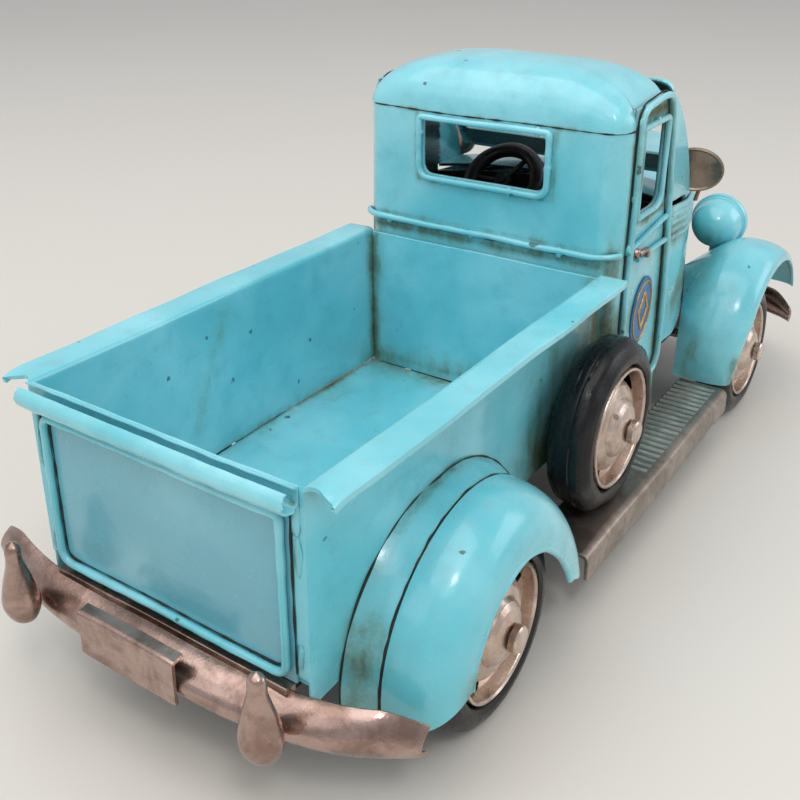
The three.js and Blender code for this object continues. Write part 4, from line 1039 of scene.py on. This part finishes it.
def doorSkin():
    # one sheet: door, sill and the quarter beside the windscreen, around the window
    curve = np.linspace(0, 1, 14)[:, None]
    low, high, bend = np.array([screenBase, cowlTop + 1]), np.array([179, doorTop]), np.array([197.5, 122])
    pillar = (1 - curve) ** 2 * low + 2 * curve * (1 - curve) * bend + curve ** 2 * high
    start = cornerEnd + 0.1
    lower = [(start, sillZ), (doorFront, sillZ), (doorFront, cowlTop + 1)]
    outer = np.vstack([lower, pillar, [(start, doorTop)]])
    a0, a1, b0, b1 = cab["doorWindow"]
    inner = roundedLoop(a0, a1, b0, b1, cab["doorCorners"], 0.8)
    x, z = plateWithHole(outer, inner, ((a0 + a1) / 2, (b0 + b1) / 2), 26)
    y = cabHalf - 0.25 * np.sin(np.clip((z - 40) / 60, 0, 1) * np.pi)
    return [patch(stack(x, y, z), loopRows=True)]


def doorOutline():
    x0 = cornerEnd + 1.4
    points = [(x0, 40), (x0, 60), (x0, 84), (x0, 108), (x0, 126), (x0 + 0.6, 131), (x0 + 3.6, 133.8),
              (160, 134.6), (168, 135.2), (173.2, 134.4), (175.9, 130.6), (177.6, 124), (180, 110),
              (182.2, 96), (183.6, 84), (184.6, 64), (184.9, 48), (183.9, 43.4), (180.4, 40.8),
              (172, 40.2), (162, 40), (x0 + 1, 40)]
    line = smoothLine(points, 300)
    return stack(line[:, 0], wireY, line[:, 1])


def makeCab():
    piece("cab_back_sheet", cabBackSheet(), turquoisePaint, ("cab_back_panel",), wall=tin, bevel=0.25)
    piece("roof_sheet", roofSheet(), turquoisePaint, ("cab_roof",), wall=0.8, bevel=0.2, sharp=60)
    pair("cab_side", doorSkin(), turquoisePaint, wall=tin, bevel=0.25)
    pair("door_outline_wire", [wireAlong(doorOutline(), wire, (0, 1, 0), seed=2)], wirePaint, sharp=80)
    a0, a1, b0, b1 = cab["doorWindow"]
    loop = roundedLoop(a0 - 0.6, a1 + 0.6, b0 - 0.6, b1 + 0.6, [1.4, 5.6, 1.6, 1.4], 0.8)
    route = stack(loop[:, 0], cabHalf + 1.0, loop[:, 1])
    pair("door_window_wire", [wireAlong(route, 0.95, (0, 1, 0), closed=True, seed=3)], wirePaint, sharp=80)
    half = cab["windowHalf"] + 1.2
    loop = roundedLoop(-half, half, cab["windowLow"] - 1.2, cab["windowHigh"] + 0.4, [4, 4, 1.2, 1.2], 0.8)
    frameWire = wireAlong(stack(cabBack - wire - 0.1, loop[:, 0], loop[:, 1]), wire, (1, 0, 0),
                          closed=True, seed=4)
    piece("rear_window_frame", [frameWire], wirePaint, ("rear_window_wire",), sharp=80)
    plan = backPlan(wire + 0.1, 116)
    belt = stack(plan[:, 0], plan[:, 1], cab["beltZ"] + ripple(plan[:, 1], 0.12, 30, 50))
    piece("belt_wire", [wireAlong(belt, wire, (0, 0, 1), seed=5)], wirePaint, ("cab_belt_wire",), sharp=80)
    # painted shade: near-black lines under the belt wire, along the roof seam and down the back corners
    seam_shade = []
    for z, radius in ((cab["beltZ"] - 1.2, 0.24), (seamZ + 0.02, 0.2)):
        line = backPlan(0.02)
        seam_shade.append(wireAlong(stack(line[:, 0], line[:, 1], z), radius, (0, 0, 1), 8, uneven=0.5, seed=13))
    line = ladder(cabBottom + 2, seamZ - 1, 1.0)
    for y in (cabHalf + 0.02, -cabHalf - 0.02):
        seam_shade.append(wireAlong(stack(cornerEnd + 0.2, y, line), 0.3, (0, 1, 0), 8, seed=14))
    piece("cab_seams", seam_shade, seamShadePaint, sharp=80)
    # painted shade: near-black lines along both sides of the door outline wire
    line = doorOutline()[:, [0, 2]]
    across = unit(np.gradient(line, axis=0))[:, ::-1] * [1, -1]
    edges = []
    for reach in (-1.15, 1.15):
        x, z = (line + reach * across).T
        edges.append(wireAlong(stack(x, cabHalf + 0.04, z), 0.28, (0, 1, 0), 8, seed=15))
    bothSides("door_seams", edges, seamShadePaint, sharp=80)
    # painted shade: a black band just inside the back panel, seen in the gap under the roof rim
    plan = backPlan(-1.4)
    skirt = stack(plan[:, None, 0], plan[:, None, 1], np.linspace(seamZ - 3, seamZ + 1.2, 5)[None, :])
    piece("roof_shade_skirt", [patch(skirt)], blackTrim, wall=0.5)
    low = finer([(158.5, 86.6), (183, 86.9)], 1.0)
    high = [(cornerEnd + 2.6, 91.4), (156, 91.8), (164, 92.8), (174, 94.2), (181.6, 95.2)]
    mouldings = []
    for line in (low, finer(smoothLine(high, 40), 1.0)):
        route = stack(line[:, 0], cabHalf + 0.75, line[:, 1])
        mouldings.append(wireAlong(route, 0.85, (0, 1, 0), seed=6))
    bothSides("door_mouldings", mouldings, wirePaint, sharp=80)


# Lumps of solder: on the door (x, depth under the trim wire's middle, z, size), on the back (y, z, size).
solder = {
    "door": [(cornerEnd + 1.2, 0.3, 92.0, 1.7), (cornerEnd + 1.6, 0.2, 130.5, 1.2),
             (164.5, 0.2, 128.6, 1.1), (cornerEnd + 1.2, 0.4, 108, 1.0), (183.2, 0.3, 86.6, 1.3),
             (182.4, 0.3, 95.2, 1.3)],
    "back": [(22.4, 121.5, 1.2), (-22.5, 116.0, 1.3), (-10, 107.0, 1.1), (-18.5, 126.4, 1.0),
             (14, 106.9, 0.9), (-22.2, 125.6, 1.2), (34, 91.0, 1.1), (-28, 91.0, 1.2), (3, 91, 0.9)],
}


def makeHandles():
    # boss and a lever turned down at its end, both round rods
    section = [(2.1, 0), (1.7, 0.1), (1.6, 2.0), (1.2, 2.5), (0, 2.6)]
    boss = turned(section, (155.4, cabHalf, 89.8), 24)
    points = [(155.0, 2.1, 89.8), (158, 2.4, 90.0), (161.4, 2.3, 89.6), (162.6, 2.2, 88.2),
              (162.8, 2.1, 86.8)]
    lever = wireAlong(smoothLine(points, 30) + [0, cabHalf, 0], 0.85, (0, 1, 0), seed=7)
    pair("door_handle", [boss, lever], champagneMetal, bent=False, sharp=70)
    lumps = [blob((x, wireY - sunk, z), (size, size * 0.7, size * 1.25), 80 + count, 0.2)
             for count, (x, sunk, z, size) in enumerate(solder["door"])]
    bothSides("door_solder", lumps, wirePaint, sharp=80)
    drips = [blob((cabBack - 0.9, y, z), (size * 0.8, size, size * 1.5), 100 + count, 0.2)
             for count, (y, z, size) in enumerate(solder["back"])]
    piece("window_solder", drips, wirePaint, sharp=80)


badge = {"x": 168.0, "z": 66.5, "halfLong": 8.4, "halfTall": 11.2, "lean": 0.12, "ring": 0.86,
         "lozenge": (3.6, 6.2)}


def makeBadge():
    # generic oval: a low dome with a ring and a lozenge, both raised
    centre = np.array([badge["x"], cabHalf, badge["z"]])
    along, up, lean, inset = (badge[key] for key in ("halfLong", "halfTall", "lean", "ring"))
    turn = np.linspace(0, 2 * np.pi, 96, endpoint=False)[None, :]
    share = np.array([1.0, 0.985, 0.95, 0.8, 0.5, 0.0])[:, None]
    rise = np.array([0.0, 0.22, 0.32, 0.4, 0.46, 0.5])[:, None]
    face = stack(centre[0] + along * share * np.cos(turn) + lean * up * share * np.sin(turn),
                 centre[1] + rise, centre[2] + up * share * np.sin(turn))
    shape = [patch(face, loopColumns=True)]
    angle = np.linspace(0, 2 * np.pi, 120, endpoint=False)
    ring = stack(centre[0] + inset * (along * np.cos(angle) + lean * up * np.sin(angle)), centre[1] + 0.38,
                 centre[2] + inset * up * np.sin(angle))
    gold = [wireAlong(ring[::-1], 0.32, (0, 1, 0), 8, closed=True, uneven=0.0)]
    wide, tall = badge["lozenge"]
    corners = np.array([(0, tall), (wide, 0), (0, -tall), (-wide, 0), (0, tall)]) + [centre[0], centre[2]]
    corners[:, 0] += lean * (corners[:, 1] - centre[2])
    device = finer(corners, 0.5)[:-1]
    route = stack(device[:, 0], centre[1] + 0.46, device[:, 1])
    gold.append(wireAlong(route, 0.45, (0, 1, 0), 8, closed=True, uneven=0.0))
    bothSides("door_badge", shape, badgeBlue, bent=False)
    bothSides("door_badge_trim", gold, badgeGold, bent=False, sharp=80)


def makeCabin():
    inset = cabHalf - tin - gap
    u = np.linspace(0, 1, 16)[:, None]
    y = np.linspace(inset, -inset, 60)[None, :]
    cowl = stack(mixed(doorFront + 0.1, screenBase, u), y,
                 cowlTop + cab["cowlCrown"] * (1 - (y / cabHalf) ** 2))
    piece("cowl_sheet", [patch(cowl)], turquoisePaint, ("cowl",), wall=tin, bevel=0.2)
    halfWidth, height = cabHalf - 2.5, 38.6
    outer = roundedLoop(-halfWidth, halfWidth, 0, height, [2, 2, 5, 5])
    inner = roundedLoop(-halfWidth + 3, halfWidth - 3, 8, height - 3, [2, 2, 4, 4])
    a, b = plateWithHole(outer, inner, (0, height / 2), 5)
    lean = math.radians(cab["lean"])
    foot = np.array([screenBase - 2.4, 0, cowlTop + 5.4])
    screen = stack(foot[0] - b * math.sin(lean), a, foot[2] + b * math.cos(lean))
    screen = patch(screen + [1.3, 0, 0.6], loopRows=True)
    piece("windscreen_frame_sheet", [screen], turquoisePaint, ("windscreen_frame",), wall=1.4, bevel=0.3)
    low, high = span("bench_seat")
    back = [(146, 37.2), (146, 92), (146.8, 93), (148.6, 93), (149.4, 92), (151.8, 61.6), (153, 60.4),
            (165.6, 61.4), (168, 60), (168.3, 58), (168, 37.2)]
    line = finer(np.vstack([rounded(back, [0.5, 0.8, 0.8, 0.5, 1, 1, 1, 1, 0.6]), back[:1]]), 1.2)[:-1]
    across = np.linspace(low[1], high[1], 70)
    seat = sectionAlongY(line, across)
    seat[..., 2] += 0.35 * np.abs(np.sin(across / 6.2))[None, :] * ((line[:, 1] > 55)[:, None])
    ends = [np.broadcast_to(end.mean(0), (len(line), 1, 3)) for end in (seat[:, 0], seat[:, -1])]
    seat = np.concatenate([ends[0], seat, ends[1]], 1)
    piece("bench_seat_shell", [patch(seat, loopRows=True)], seatBrown, ("bench_seat",), turn=True)


steering = {"centre": (175.6, 11.0, 99.0), "lean": 42.0, "ring": 12.4, "tube": 2.5,
            "spokes": (90, 210, 330), "spokeReach": (2.4, 11.4)}


def makeSteering():
    # torus: ring radius in the wheel's plane, tube radius round it; then turned onto the column
    around = np.linspace(0, 2 * np.pi, 72, endpoint=False)[:, None]
    section = np.linspace(0, 2 * np.pi, 20, endpoint=False)[None, :]
    tube = steering["tube"] * (1 + 0.03 * np.cos(6 * around))
    ring = stack((steering["ring"] + tube * np.cos(section)) * np.cos(around),
                 (steering["ring"] + tube * np.cos(section)) * np.sin(around), tube * np.sin(section))
    shapes = [patch(ring, loopRows=True, loopColumns=True)]
    hub = [(1.3, 1.5), (1.3, -1.5), (2.2, -1.5), (2.8, -1.0), (2.8, 1.0), (2.2, 1.5), (1.3, 1.5)]
    shapes.append(turned(hub, (0, 0, 0), 32, "z"))
    for degrees in steering["spokes"]:
        way = np.array([math.cos(math.radians(degrees)), math.sin(math.radians(degrees)), 0.0])
        shapes.append(wireAlong(np.linspace(*steering["spokeReach"], 20)[:, None] * way, 0.9, (0, 0, 1)))
    tilt = math.radians(steering["lean"]) - math.pi / 2
    turnY = np.array([[math.cos(tilt), 0, math.sin(tilt)], [0, 1, 0], [-math.sin(tilt), 0, math.cos(tilt)]])
    shapes = [(points @ turnY.T + steering["centre"], faces) for points, faces in shapes]
    piece("steering_wheel_rim", shapes, blackTrim, ("steering_wheel",), "steering",
          bent=False, sharp=60, turn=True)


badgeBlue = (dull("badge blue paint", "2f6fa8", "23598c", 0.32), "turquoise_paint")
badgeGold = (brushedMetal("badge gold", high="d9b45c", mid="b8923f", low="7a5c22", rough=0.3),
             "champagne_metal")

makeCab()
makeHandles()
makeBadge()
makeCabin()
makeSteering()
print("cab made")

# Hood, front end, fenders, boards, bumpers

front = {"noseHalf": 21.0, "noseTop": 90.0, "louvres": 4, "louvreEnd": 262, "pitch": 2.7,
         "sideHeight": 50.0, "bars": 9, "barPitch": 3.7}


def bodyHalf(x):
    # half width of the body ahead of the cab, tapering to the nose
    run = np.clip((x - screenBase) / (nose - screenBase), 0, None)
    return mixed(cabHalf - tin - gap, front["noseHalf"], run ** 1.25)


def shoulderZ(x):
    return mixed(cowlTop - 1, front["noseTop"], (x - doorFront) / (nose - doorFront))


def hoodSide():
    # plain sheet under the shoulder, carried forward along the taper
    down = ladder(-0.2, -front["sideHeight"], 1.4)
    x = np.linspace(doorFront + 0.1, nose, 90)[:, None]
    grid = stack(x, bodyHalf(x), shoulderZ(x) + down[None, :])
    return [patch(grid[::-1])]


def louvres():
    # long half-round strips on the hood side, parallel with its shoulder, and painted shade under them as
    # thin near-black lines
    x = np.linspace(doorFront + 1.5, front["louvreEnd"], 110)
    strips, shade_lines = [], []
    for count in range(front["louvres"]):
        height = shoulderZ(x) - 3.2 - front["pitch"] * count
        strips.append(wireAlong(stack(x, bodyHalf(x) + 0.4, height), 1.0, (0, 0, 1), seed=16 + count))
        low = height - 0.5 * front["pitch"]
        shade_lines.append(wireAlong(stack(x, bodyHalf(x) - 0.1, low), 0.5, (0, 0, 1), 8, uneven=0.5,
                                 seed=30 + count))
    return strips, shade_lines


def makeHood():
    pair("hood_side", hoodSide(), turquoisePaint, wall=0.8, bevel=0.15, sharp=25)
    strips, shade_lines = louvres()
    bothSides("hood_louvres", strips, wirePaint, sharp=80)
    # painted shade under the louvre strips
    bothSides("hood_louvre_shade_lines", shade_lines, seamShadePaint, sharp=80)
    x = mixed(screenBase + 0.1, nose, np.linspace(0, 1, 70))[:, None]
    across = np.linspace(1, -1, 90)[None, :]
    crown = mixed(5.5, 9, np.linspace(0, 1, 70)[:, None])
    ridge = 0.9 * np.exp(-(across * bodyHalf(x) / 1.3) ** 2)
    top = stack(x, bodyHalf(x) * across, shoulderZ(x) + 0.1 + crown * (1 - np.abs(across) ** 2.4) + ridge)
    piece("hood_top_sheet", [patch(top)], turquoisePaint, ("hood_top",), wall=tin, bevel=0.2)
    low, high = span("grille")
    half, mid = high[1], (low[2] + high[2]) / 2
    outer = roundedLoop(-half, half, low[2], high[2], [6, 6, 16, 16])
    inner = roundedLoop(-half + 4, half - 4, low[2] + 5, high[2] - 5, [4, 4, 13, 13])
    a, b = plateWithHole(outer, inner, (0, mid), 14)
    share = np.linspace(0, 1, 14)[None, :]
    shell = stack(nose + gap + 1.4 + 1.9 * np.sin(np.pi * share) ** 0.6, a, b)
    bars = []
    for count in range(front["bars"]):
        y = (count - (front["bars"] - 1) / 2) * front["barPitch"]
        tall = high[2] - 6 - 0.03 * y * y
        rod = ladder(low[2] + 6, tall, 2.0)
        bars.append(wireAlong(stack(nose + gap + 1.9, y, rod), 0.75, (1, 0, 0), seed=9))
    piece("grille_shell", [patch(shell, loopRows=True)], champagneMetal, ("grille",), wall=1.0, bevel=0.2)
    piece("grille_bars", bars, champagneMetal, sharp=80)
    # painted shade: a black plate behind the bars, for the shade of the engine bay
    back = slab((nose + gap, -half + 3, low[2] + 4), (nose + gap + 0.5, half - 3, high[2] - 4), 4)
    piece("grille_shade_backing", back, blackTrim, bevel=0.1)


lamp = {
    "bowl": [(0.0, -11.0), (2.2, -10.8), (4.6, -9.9), (6.8, -8.1), (8.6, -5.6), (9.6, -2.8),
             (10.0, -0.6), (10.0, 0.8)],
    "lip": [(10.5, 1.0), (10.9, 1.6), (10.9, 3.2), (10.5, 3.7), (9.6, 3.8), (9.2, 3.2)],
    "rim": [(9.1, 3.0), (9.3, 4.1), (10.2, 4.2), (10.95, 3.6), (11.0, 2.2), (10.7, 1.5)],
    "lens": [(9.3, 3.0), (8.0, 4.1), (5.4, 5.5), (2.6, 6.2), (0.0, 6.4)],
    "ribPitch": 1.9, "ribHeight": 0.16,
}


def makeLamps():
    # sections in (radius, distance ahead): a bowl with a lip, its stalk, the rim and a ribbed lens
    low, high = span("headlight_left")
    centre = np.array([high[0] - 6.4, (low[1] + high[1]) / 2, high[2] - 11.6])
    skin = turned(finer(smoothLine(lamp["bowl"], 30).tolist() + lamp["lip"], 0.5), centre, 72, "x")
    stalk = turned([(2.0, -13.0), (1.8, -9.5), (2.3, -8.6)], centre, 24, "z")
    points, faces = turned(smoothLine(lamp["lens"], 30), centre, 72, "x")
    points[:, 0] += lamp["ribHeight"] * np.cos(points[:, 1] * 2 * np.pi / lamp["ribPitch"])
    pair("headlight", [skin, stalk], turquoisePaint, turn=True)
    bothSides("headlight_rim", [turned(lamp["rim"], centre, 72, "x")], turquoisePaint, wall=0.4, bent=False)
    bothSides("headlight_lens", [(points, faces)], lensPaint, wall=0.5)


# The seam is the share of a fender's width between its root and its crest.
fender = {"crestY": 50.0, "seam": 0.34, "tin": 0.9, "rearOuter": 66, "rearFirst": 189, "frontFirst": 189,
          "frontLast": 14}


def crownedSection(inner, crest, outer, crestRadius, edgeRadius, drop, across):
    # rises from the inner edge to the crest, then rolls over to the outer edge as part of a superellipse
    share = fender["seam"]
    rise = np.clip(across / share, 0, 1)
    y = mixed(inner, crest, rise)
    flank = crestRadius - drop * np.clip((crest - y) / (crest - inner), 0, None) ** 1.6
    turn = np.pi / 2 * np.clip((across - share) / (1 - share), 0, 1)
    over = across > share
    y = np.where(over, crest + (outer - crest) * np.sin(turn) ** 0.85, y)
    radius = np.where(over, edgeRadius + (crestRadius - edgeRadius) * np.abs(np.cos(turn)) ** 0.85, flank)
    return y, radius


def polar(axle, angle, radius, y):
    turn = np.radians(angle)
    return stack(axle + radius * np.cos(turn), y, wheelRadius + radius * np.sin(turn))


def rearFender(u, v):
    # u runs round the wheel from the tail to the tip, v from the bed to the outer edge
    share = np.clip((v - fender["seam"]) / (1 - fender["seam"]), 0, None)
    band = np.clip(v / fender["seam"], None, 1)
    tail = fender["rearFirst"] - 13 * share ** 2
    tip = mixed(13, 6, band) - 11 * np.abs(np.sin(np.pi * np.clip(share, 0, 1))) ** 0.8 - 6 * share
    angle = mixed(tail, tip, u)
    forward = np.clip((60 - angle) / 74, 0, None)
    crest = 36.8 + 9.5 * forward ** 2.2
    edge = 22.8 + 9 * forward ** 2.5
    drop = -0.6 - 3 * np.abs(np.cos(np.radians(angle)))
    y, radius = crownedSection(bedHalf + tin + 0.1, fender["crestY"], fender["rearOuter"], crest, edge,
                               drop, v)
    return polar(rearAxle, angle, radius, y)


def frontFender(u, v):
    angle = mixed(fender["frontFirst"], fender["frontLast"], u)
    run = (190 - angle) / 180
    crest = 29.4 + 23.6 * run ** 1.5
    edge = 26 - 2.2 * np.clip(run / 0.1, None, 1) + 26 * np.clip((170 - angle) / 160, 0, None) ** 1.8
    drop = 17 * np.clip(run / 0.5, None, 1) ** 1.5
    x = frontAxle + (crest - drop) * np.cos(np.radians(angle))
    inner = bodyHalf(x) + 1.4 + 1.1 * np.clip(x - nose + 6, 0, None)
    outer = 62.5 + 3.5 * np.clip(run / 0.3, None, 1) - 8 * np.clip(run - 0.75, 0, None)
    y, radius = crownedSection(inner, fender["crestY"] + 1, outer, crest, edge, drop, v)
    return polar(frontAxle, angle, radius, y)


def makeFenders():
    u = np.linspace(0, 1, 150)[:, None]
    band = np.linspace(0, fender["seam"] - 0.006, 22)[None, :]
    shell = np.linspace(fender["seam"] + 0.004, 1, 64)[None, :]
    pair("rear_fender", [patch(rearFender(u, shell))], turquoisePaint, wall=fender["tin"], bevel=0.25)
    bothSides("rear_fender_band", [patch(rearFender(u, band))], turquoisePaint, wall=fender["tin"],
              bevel=0.2)
    # painted shade: near-black lines along the fender's root on the bed side and along the joint between
    # its band and its shell
    root = rearFender(u, 0.0)[:, 0] + [0, 0.1, 0]
    seam = rearFender(u[3:-3], fender["seam"] - 0.001)[:, 0] - [0, 0, 0.4]
    seam_shade = [wireAlong(root, 0.24, (0, 1, 0), 8, uneven=0.6, seed=17),
             wireAlong(seam, 0.36, (0, 1, 0), 8, uneven=0.4, seed=18)]
    hem = [wireAlong(rearFender(u, 1.0)[:, 0] - [0, 0.7, 0], 1.0, (0, 1, 0), 10, seed=19)]
    bothSides("rear_fender_seams", seam_shade, seamShadePaint, sharp=80)
    bothSides("rear_fender_hem", hem, turquoisePaint, sharp=80)
    shell = frontFender(u, np.linspace(0, 1, 84)[None, :])
    pair("front_fender", [patch(shell)], turquoisePaint, wall=fender["tin"], bevel=0.25)


board = {"edge": 7.4, "bend": 1.6, "matRear": 144.0, "matFront": 214.0, "ribPitch": 3.5,
         "ribHeight": 0.95}


def makeBoards():
    # a board bent down at its outer edge, and a mat of raised cosine ribs across it
    corners = [(cabHalf + 0.4, boardTop), (boardOuter, boardTop), (boardOuter, boardTop - board["edge"])]
    line = finer(rounded(corners, [board["bend"]]), 1.0)
    stations = np.linspace(boardRear, boardFront, 120)
    grid = sectionAlongX(line, stations)
    lip = np.clip((boardTop - 4 - grid[..., 2]) / 3, 0, 1)
    grid[..., 2] += lip * ripple(grid[..., 0], 0.5, 14, 71)
    pair("running_board", [patch(grid[:, ::-1])], boardMetal, wall=1.2, bevel=0.3)
    rear, ahead, pitch = board["matRear"], board["matFront"], board["ribPitch"]
    x = np.linspace(rear, ahead, int((ahead - rear) / pitch) * 16 + 1)
    wave = 0.5 - 0.5 * np.cos((x - rear) / pitch * 2 * np.pi)
    rise = boardTop + 0.75 + board["ribHeight"] * np.clip(wave * 1.4, 0, 1) ** 1.5
    across = np.linspace(cabHalf + 1.2, boardOuter - 2.4, 26)
    mat = stack(x[:, None], across[None, :], rise[:, None] + ripple(across, 0.07, 9, 72)[None, :])
    pair("running_board_mat", [patch(mat)], matPaint, wall=0.5, bevel=0.1)


bumper = {
    "tall": 12.0, "sweep": 13.5, "leftSweep": 5.5, "leftLift": 5.0, "tin": 1.2,
    "shelf": [(-2.4, -37, 33.8), (0.8, 37, 36.2)],
    "guard": [(0.05, 0), (3.4, 0.8), (5.2, 3.4), (5.6, 6.6), (4.8, 10.6), (3.4, 15), (2.5, 18.4),
              (2.4, 20.6), (1.9, 22.4), (0.05, 23.5)],
    "guardScale": [0.78, 0.96, 0.96],
    "plate": [(-7.4, 36.8), (-11, 36.4), (-11, 24.6)], "plateEnds": (-11.5, 20),
}


def bumperShape(even):
    # u runs across from the left end, v up the section: a rounded bar with its ends swept forward; unless
    # it is even, its left end is swept less and bent up
    u = np.linspace(0, 1, 180)[:, None]
    v = np.linspace(0, 1, 26)[None, :]
    low, high = span("front_bumper")
    half, bottom = high[1], low[2] + 1
    y = mixed(-half, half, u)
    end = np.abs(y) / half
    bentUp = (y > 0) & (not even)
    sweep = np.where(bentUp, bumper["leftSweep"], bumper["sweep"])
    lift = np.where(bentUp, bumper["leftLift"], 0.0)
    depth = 3.4 + 4.2 * (1 - end ** 2)
    x = -1.7 - 1.3 * (1 - v) - depth * np.abs(np.sin(np.pi * v)) ** 0.7 + sweep * end ** 4.2
    squeeze = 1 - 0.4 * np.clip((end - 0.86) / 0.14, 0, 1) ** 1.5
    z = bottom + bumper["tall"] * v * squeeze + lift * end ** 4
    return stack(x, y, z)


def makeBumpers():
    rear = bumperShape(False)
    rear = rear + waves(rear, 0.07, 24.0, 75)
    piece("rear_bumper_shelf", slab(*bumper["shelf"], 3.0), champagneMetal, bevel=0.3)
    piece("rear_bumper_bar", [patch(rear[:, ::-1])], champagneMetal, ("rear_bumper",),
          wall=bumper["tin"], bevel=0.35)
    ahead = bumperShape(True) * [-1, 1, 1] - [0, 0, 1]
    ahead[..., 0] += span("front_bumper")[1][0] - ahead[..., 0].max()
    ahead = ahead + waves(ahead, 0.07, 24.0, 76)
    piece("front_bumper_bar", [patch(ahead)], champagneMetal, ("front_bumper",),
          wall=bumper["tin"], bevel=0.35)
    low, high = span("bumperette_left")
    points, faces = turned(smoothLine(bumper["guard"], 60), (0, 0, 0), 48, "z")
    foot = [(low[0] + high[0]) / 2 - 0.6, middle("bumperette_left")[1], low[2]]
    points = points * bumper["guardScale"] + foot
    pair("bumperette", [(points + waves(points, 0.1, 12.0, 77), faces)], champagneMetal, turn=True)
    line = finer(rounded(bumper["plate"], [1.2]), 0.8)
    plate = sectionAlongY(line, np.linspace(*bumper["plateEnds"], 60))
    plate = plate + waves(plate, 0.1, 16.0, 78)
    piece("licence_plate_blank", [patch(plate[::-1])], champagneMetal, ("licence_plate",),
          wall=0.9, bevel=0.3)


mirror = {
    "section": [(0.0, -0.5), (0.5, -0.55), (0.86, -0.75), (0.93, -1.15), (1.0, -0.9), (1.0, 0.3),
                (0.9, 0.85), (0.0, 1.0)],
    "halfSize": (9.2, 7.3), "swing": -12, "middle": [203.8, 46.3, 105.4],
    "arm": [(208.4, 45.9, 93.5), (208.2, 46.6, 96.5), (207.4, 47.8, 100), (207.2, 48.4, 104)],
}


def makeMirrors():
    # disc facing back, a little dished, with a rolled rim, swung about z, on a bent wire
    points, faces = turned(mirror["section"], (0, 0, 0), 64, "x")
    angle = math.radians(mirror["swing"])
    cos, sin = math.cos(angle), math.sin(angle)
    swing = np.array([[cos, -sin, 0], [sin, cos, 0], [0, 0, 1]])
    points = (points * [1, *mirror["halfSize"]]) @ swing.T + mirror["middle"]
    arm = wireAlong(smoothLine(mirror["arm"], 24), 0.8, (0, 1, 0))
    pair("mirror", [(points, faces), arm], mirrorMetal, turn=True, bent=False, sharp=30)


lensPaint = (brushedMetal("lens paint", high="d9d6d0", mid="bdbab4", low="8f8a84", rough=0.22),
             "champagne_metal")

makeHood()
makeLamps()
makeFenders()
makeBoards()
makeBumpers()
makeMirrors()
print("front, fenders and bumpers made")

# Hidden pieces keep their own solids, with a proper finish.
hidden = {"chassis_pan": darkIron, "cab_floor": darkIron,
          "dashboard": blackTrim, "steering_column": blackTrim}
for nodeName, (nodePaint, _) in hidden.items():
    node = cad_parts[nodeName]
    node.data.materials.clear()
    node.data.materials.append(nodePaint)
print(counts["pieces"], "pieces,", counts["faces"], "faces")

# Floor, light and camera

studio = {
    "floor": "dbd5cc", "floorHalf": 3.0, "world": "e6e9ee", "worldStrength": 0.68,
    "keyPower": 8.3, "fillPower": 2.6, "rearPower": 1.3, "lampPower": 1.5,
    "lens": 45.7, "eye": (-277.5, -150.45, 193.25), "shift": (0.0168, -0.1),
}


def makeFloor():
    side = np.linspace(-studio["floorHalf"], studio["floorHalf"], 9)
    points, faces = patch(stack(side[:, None], side[None, :], 0.0))
    mesh = bpy.data.meshes.new("floor")
    mesh.from_pydata(points, [], faces)
    floor = bpy.data.objects.new("floor", mesh)
    bpy.context.collection.objects.link(floor)
    made, tree, sockets, coords = material("floor paint", colour(studio["floor"]), {"Roughness": 0.55})
    tree.links.new(blended(tree, noise(tree, coords, 3.0), colour(studio["floor"]), colour("dedad3")),
                   sockets["Base Color"])
    mesh.materials.append(made)


def areaLight(name, where, aim, size, power, hue):
    lamp = bpy.data.lights.new(name, "AREA")
    lamp.shape = "RECTANGLE"
    lamp.size, lamp.size_y = size
    lamp.energy = power
    lamp.color = hue
    holder = bpy.data.objects.new(name, lamp)
    holder.location = where
    holder.rotation_euler = (Vector(aim) - Vector(where)).to_track_quat("-Z", "Y").to_euler()
    bpy.context.collection.objects.link(holder)


def makeStudio():
    areaLight("ceiling", (-0.3, 0.05, 1.15), (0, 0, 0), (1.5, 1.1), studio["keyPower"], (1.0, 0.985, 0.96))
    areaLight("window", (0.7, -0.9, 0.55), (0, 0, 0.05), (0.8, 0.6), studio["fillPower"], (0.94, 0.97, 1.0))
    areaLight("back wall", (-0.95, 0.25, 0.75), (0, 0, 0.05), (0.9, 0.5), studio["rearPower"],
              (1.0, 0.99, 0.97))
    areaLight("lamp", (-0.55, -0.55, 1.0), (0, 0, 0.05), (0.16, 0.16), studio["lampPower"],
              (1.0, 0.98, 0.95))
    world = bpy.data.worlds.new("studio")
    world.use_nodes = True
    world.node_tree.nodes["Background"].inputs["Color"].default_value = colour(studio["world"])
    world.node_tree.nodes["Background"].inputs["Strength"].default_value = studio["worldStrength"]
    bpy.context.scene.world = world


def makeCamera():
    # the camera's right and down directions; it looks along their cross product
    right = np.array([0.56884, -0.82243, -0.00538])
    down = np.array([-0.32665, -0.21992, -0.91920])
    ahead = np.cross(right, down)
    turnTo = Matrix(np.stack([right, -down, -ahead], 1).tolist())
    lens = bpy.data.cameras.new("camera")
    lens.sensor_width = 36
    lens.lens = studio["lens"]
    lens.shift_x, lens.shift_y = studio["shift"]
    lens.clip_start = 0.01
    camera = bpy.data.objects.new("camera", lens)
    camera.matrix_world = Matrix.Translation(np.array(studio["eye"]) * mm) @ turnTo.to_4x4()
    bpy.context.collection.objects.link(camera)
    bpy.context.scene.camera = camera


makeFloor()
makeStudio()
makeCamera()
bpy.context.scene.view_settings.view_transform = "Standard"
print("stage ready")
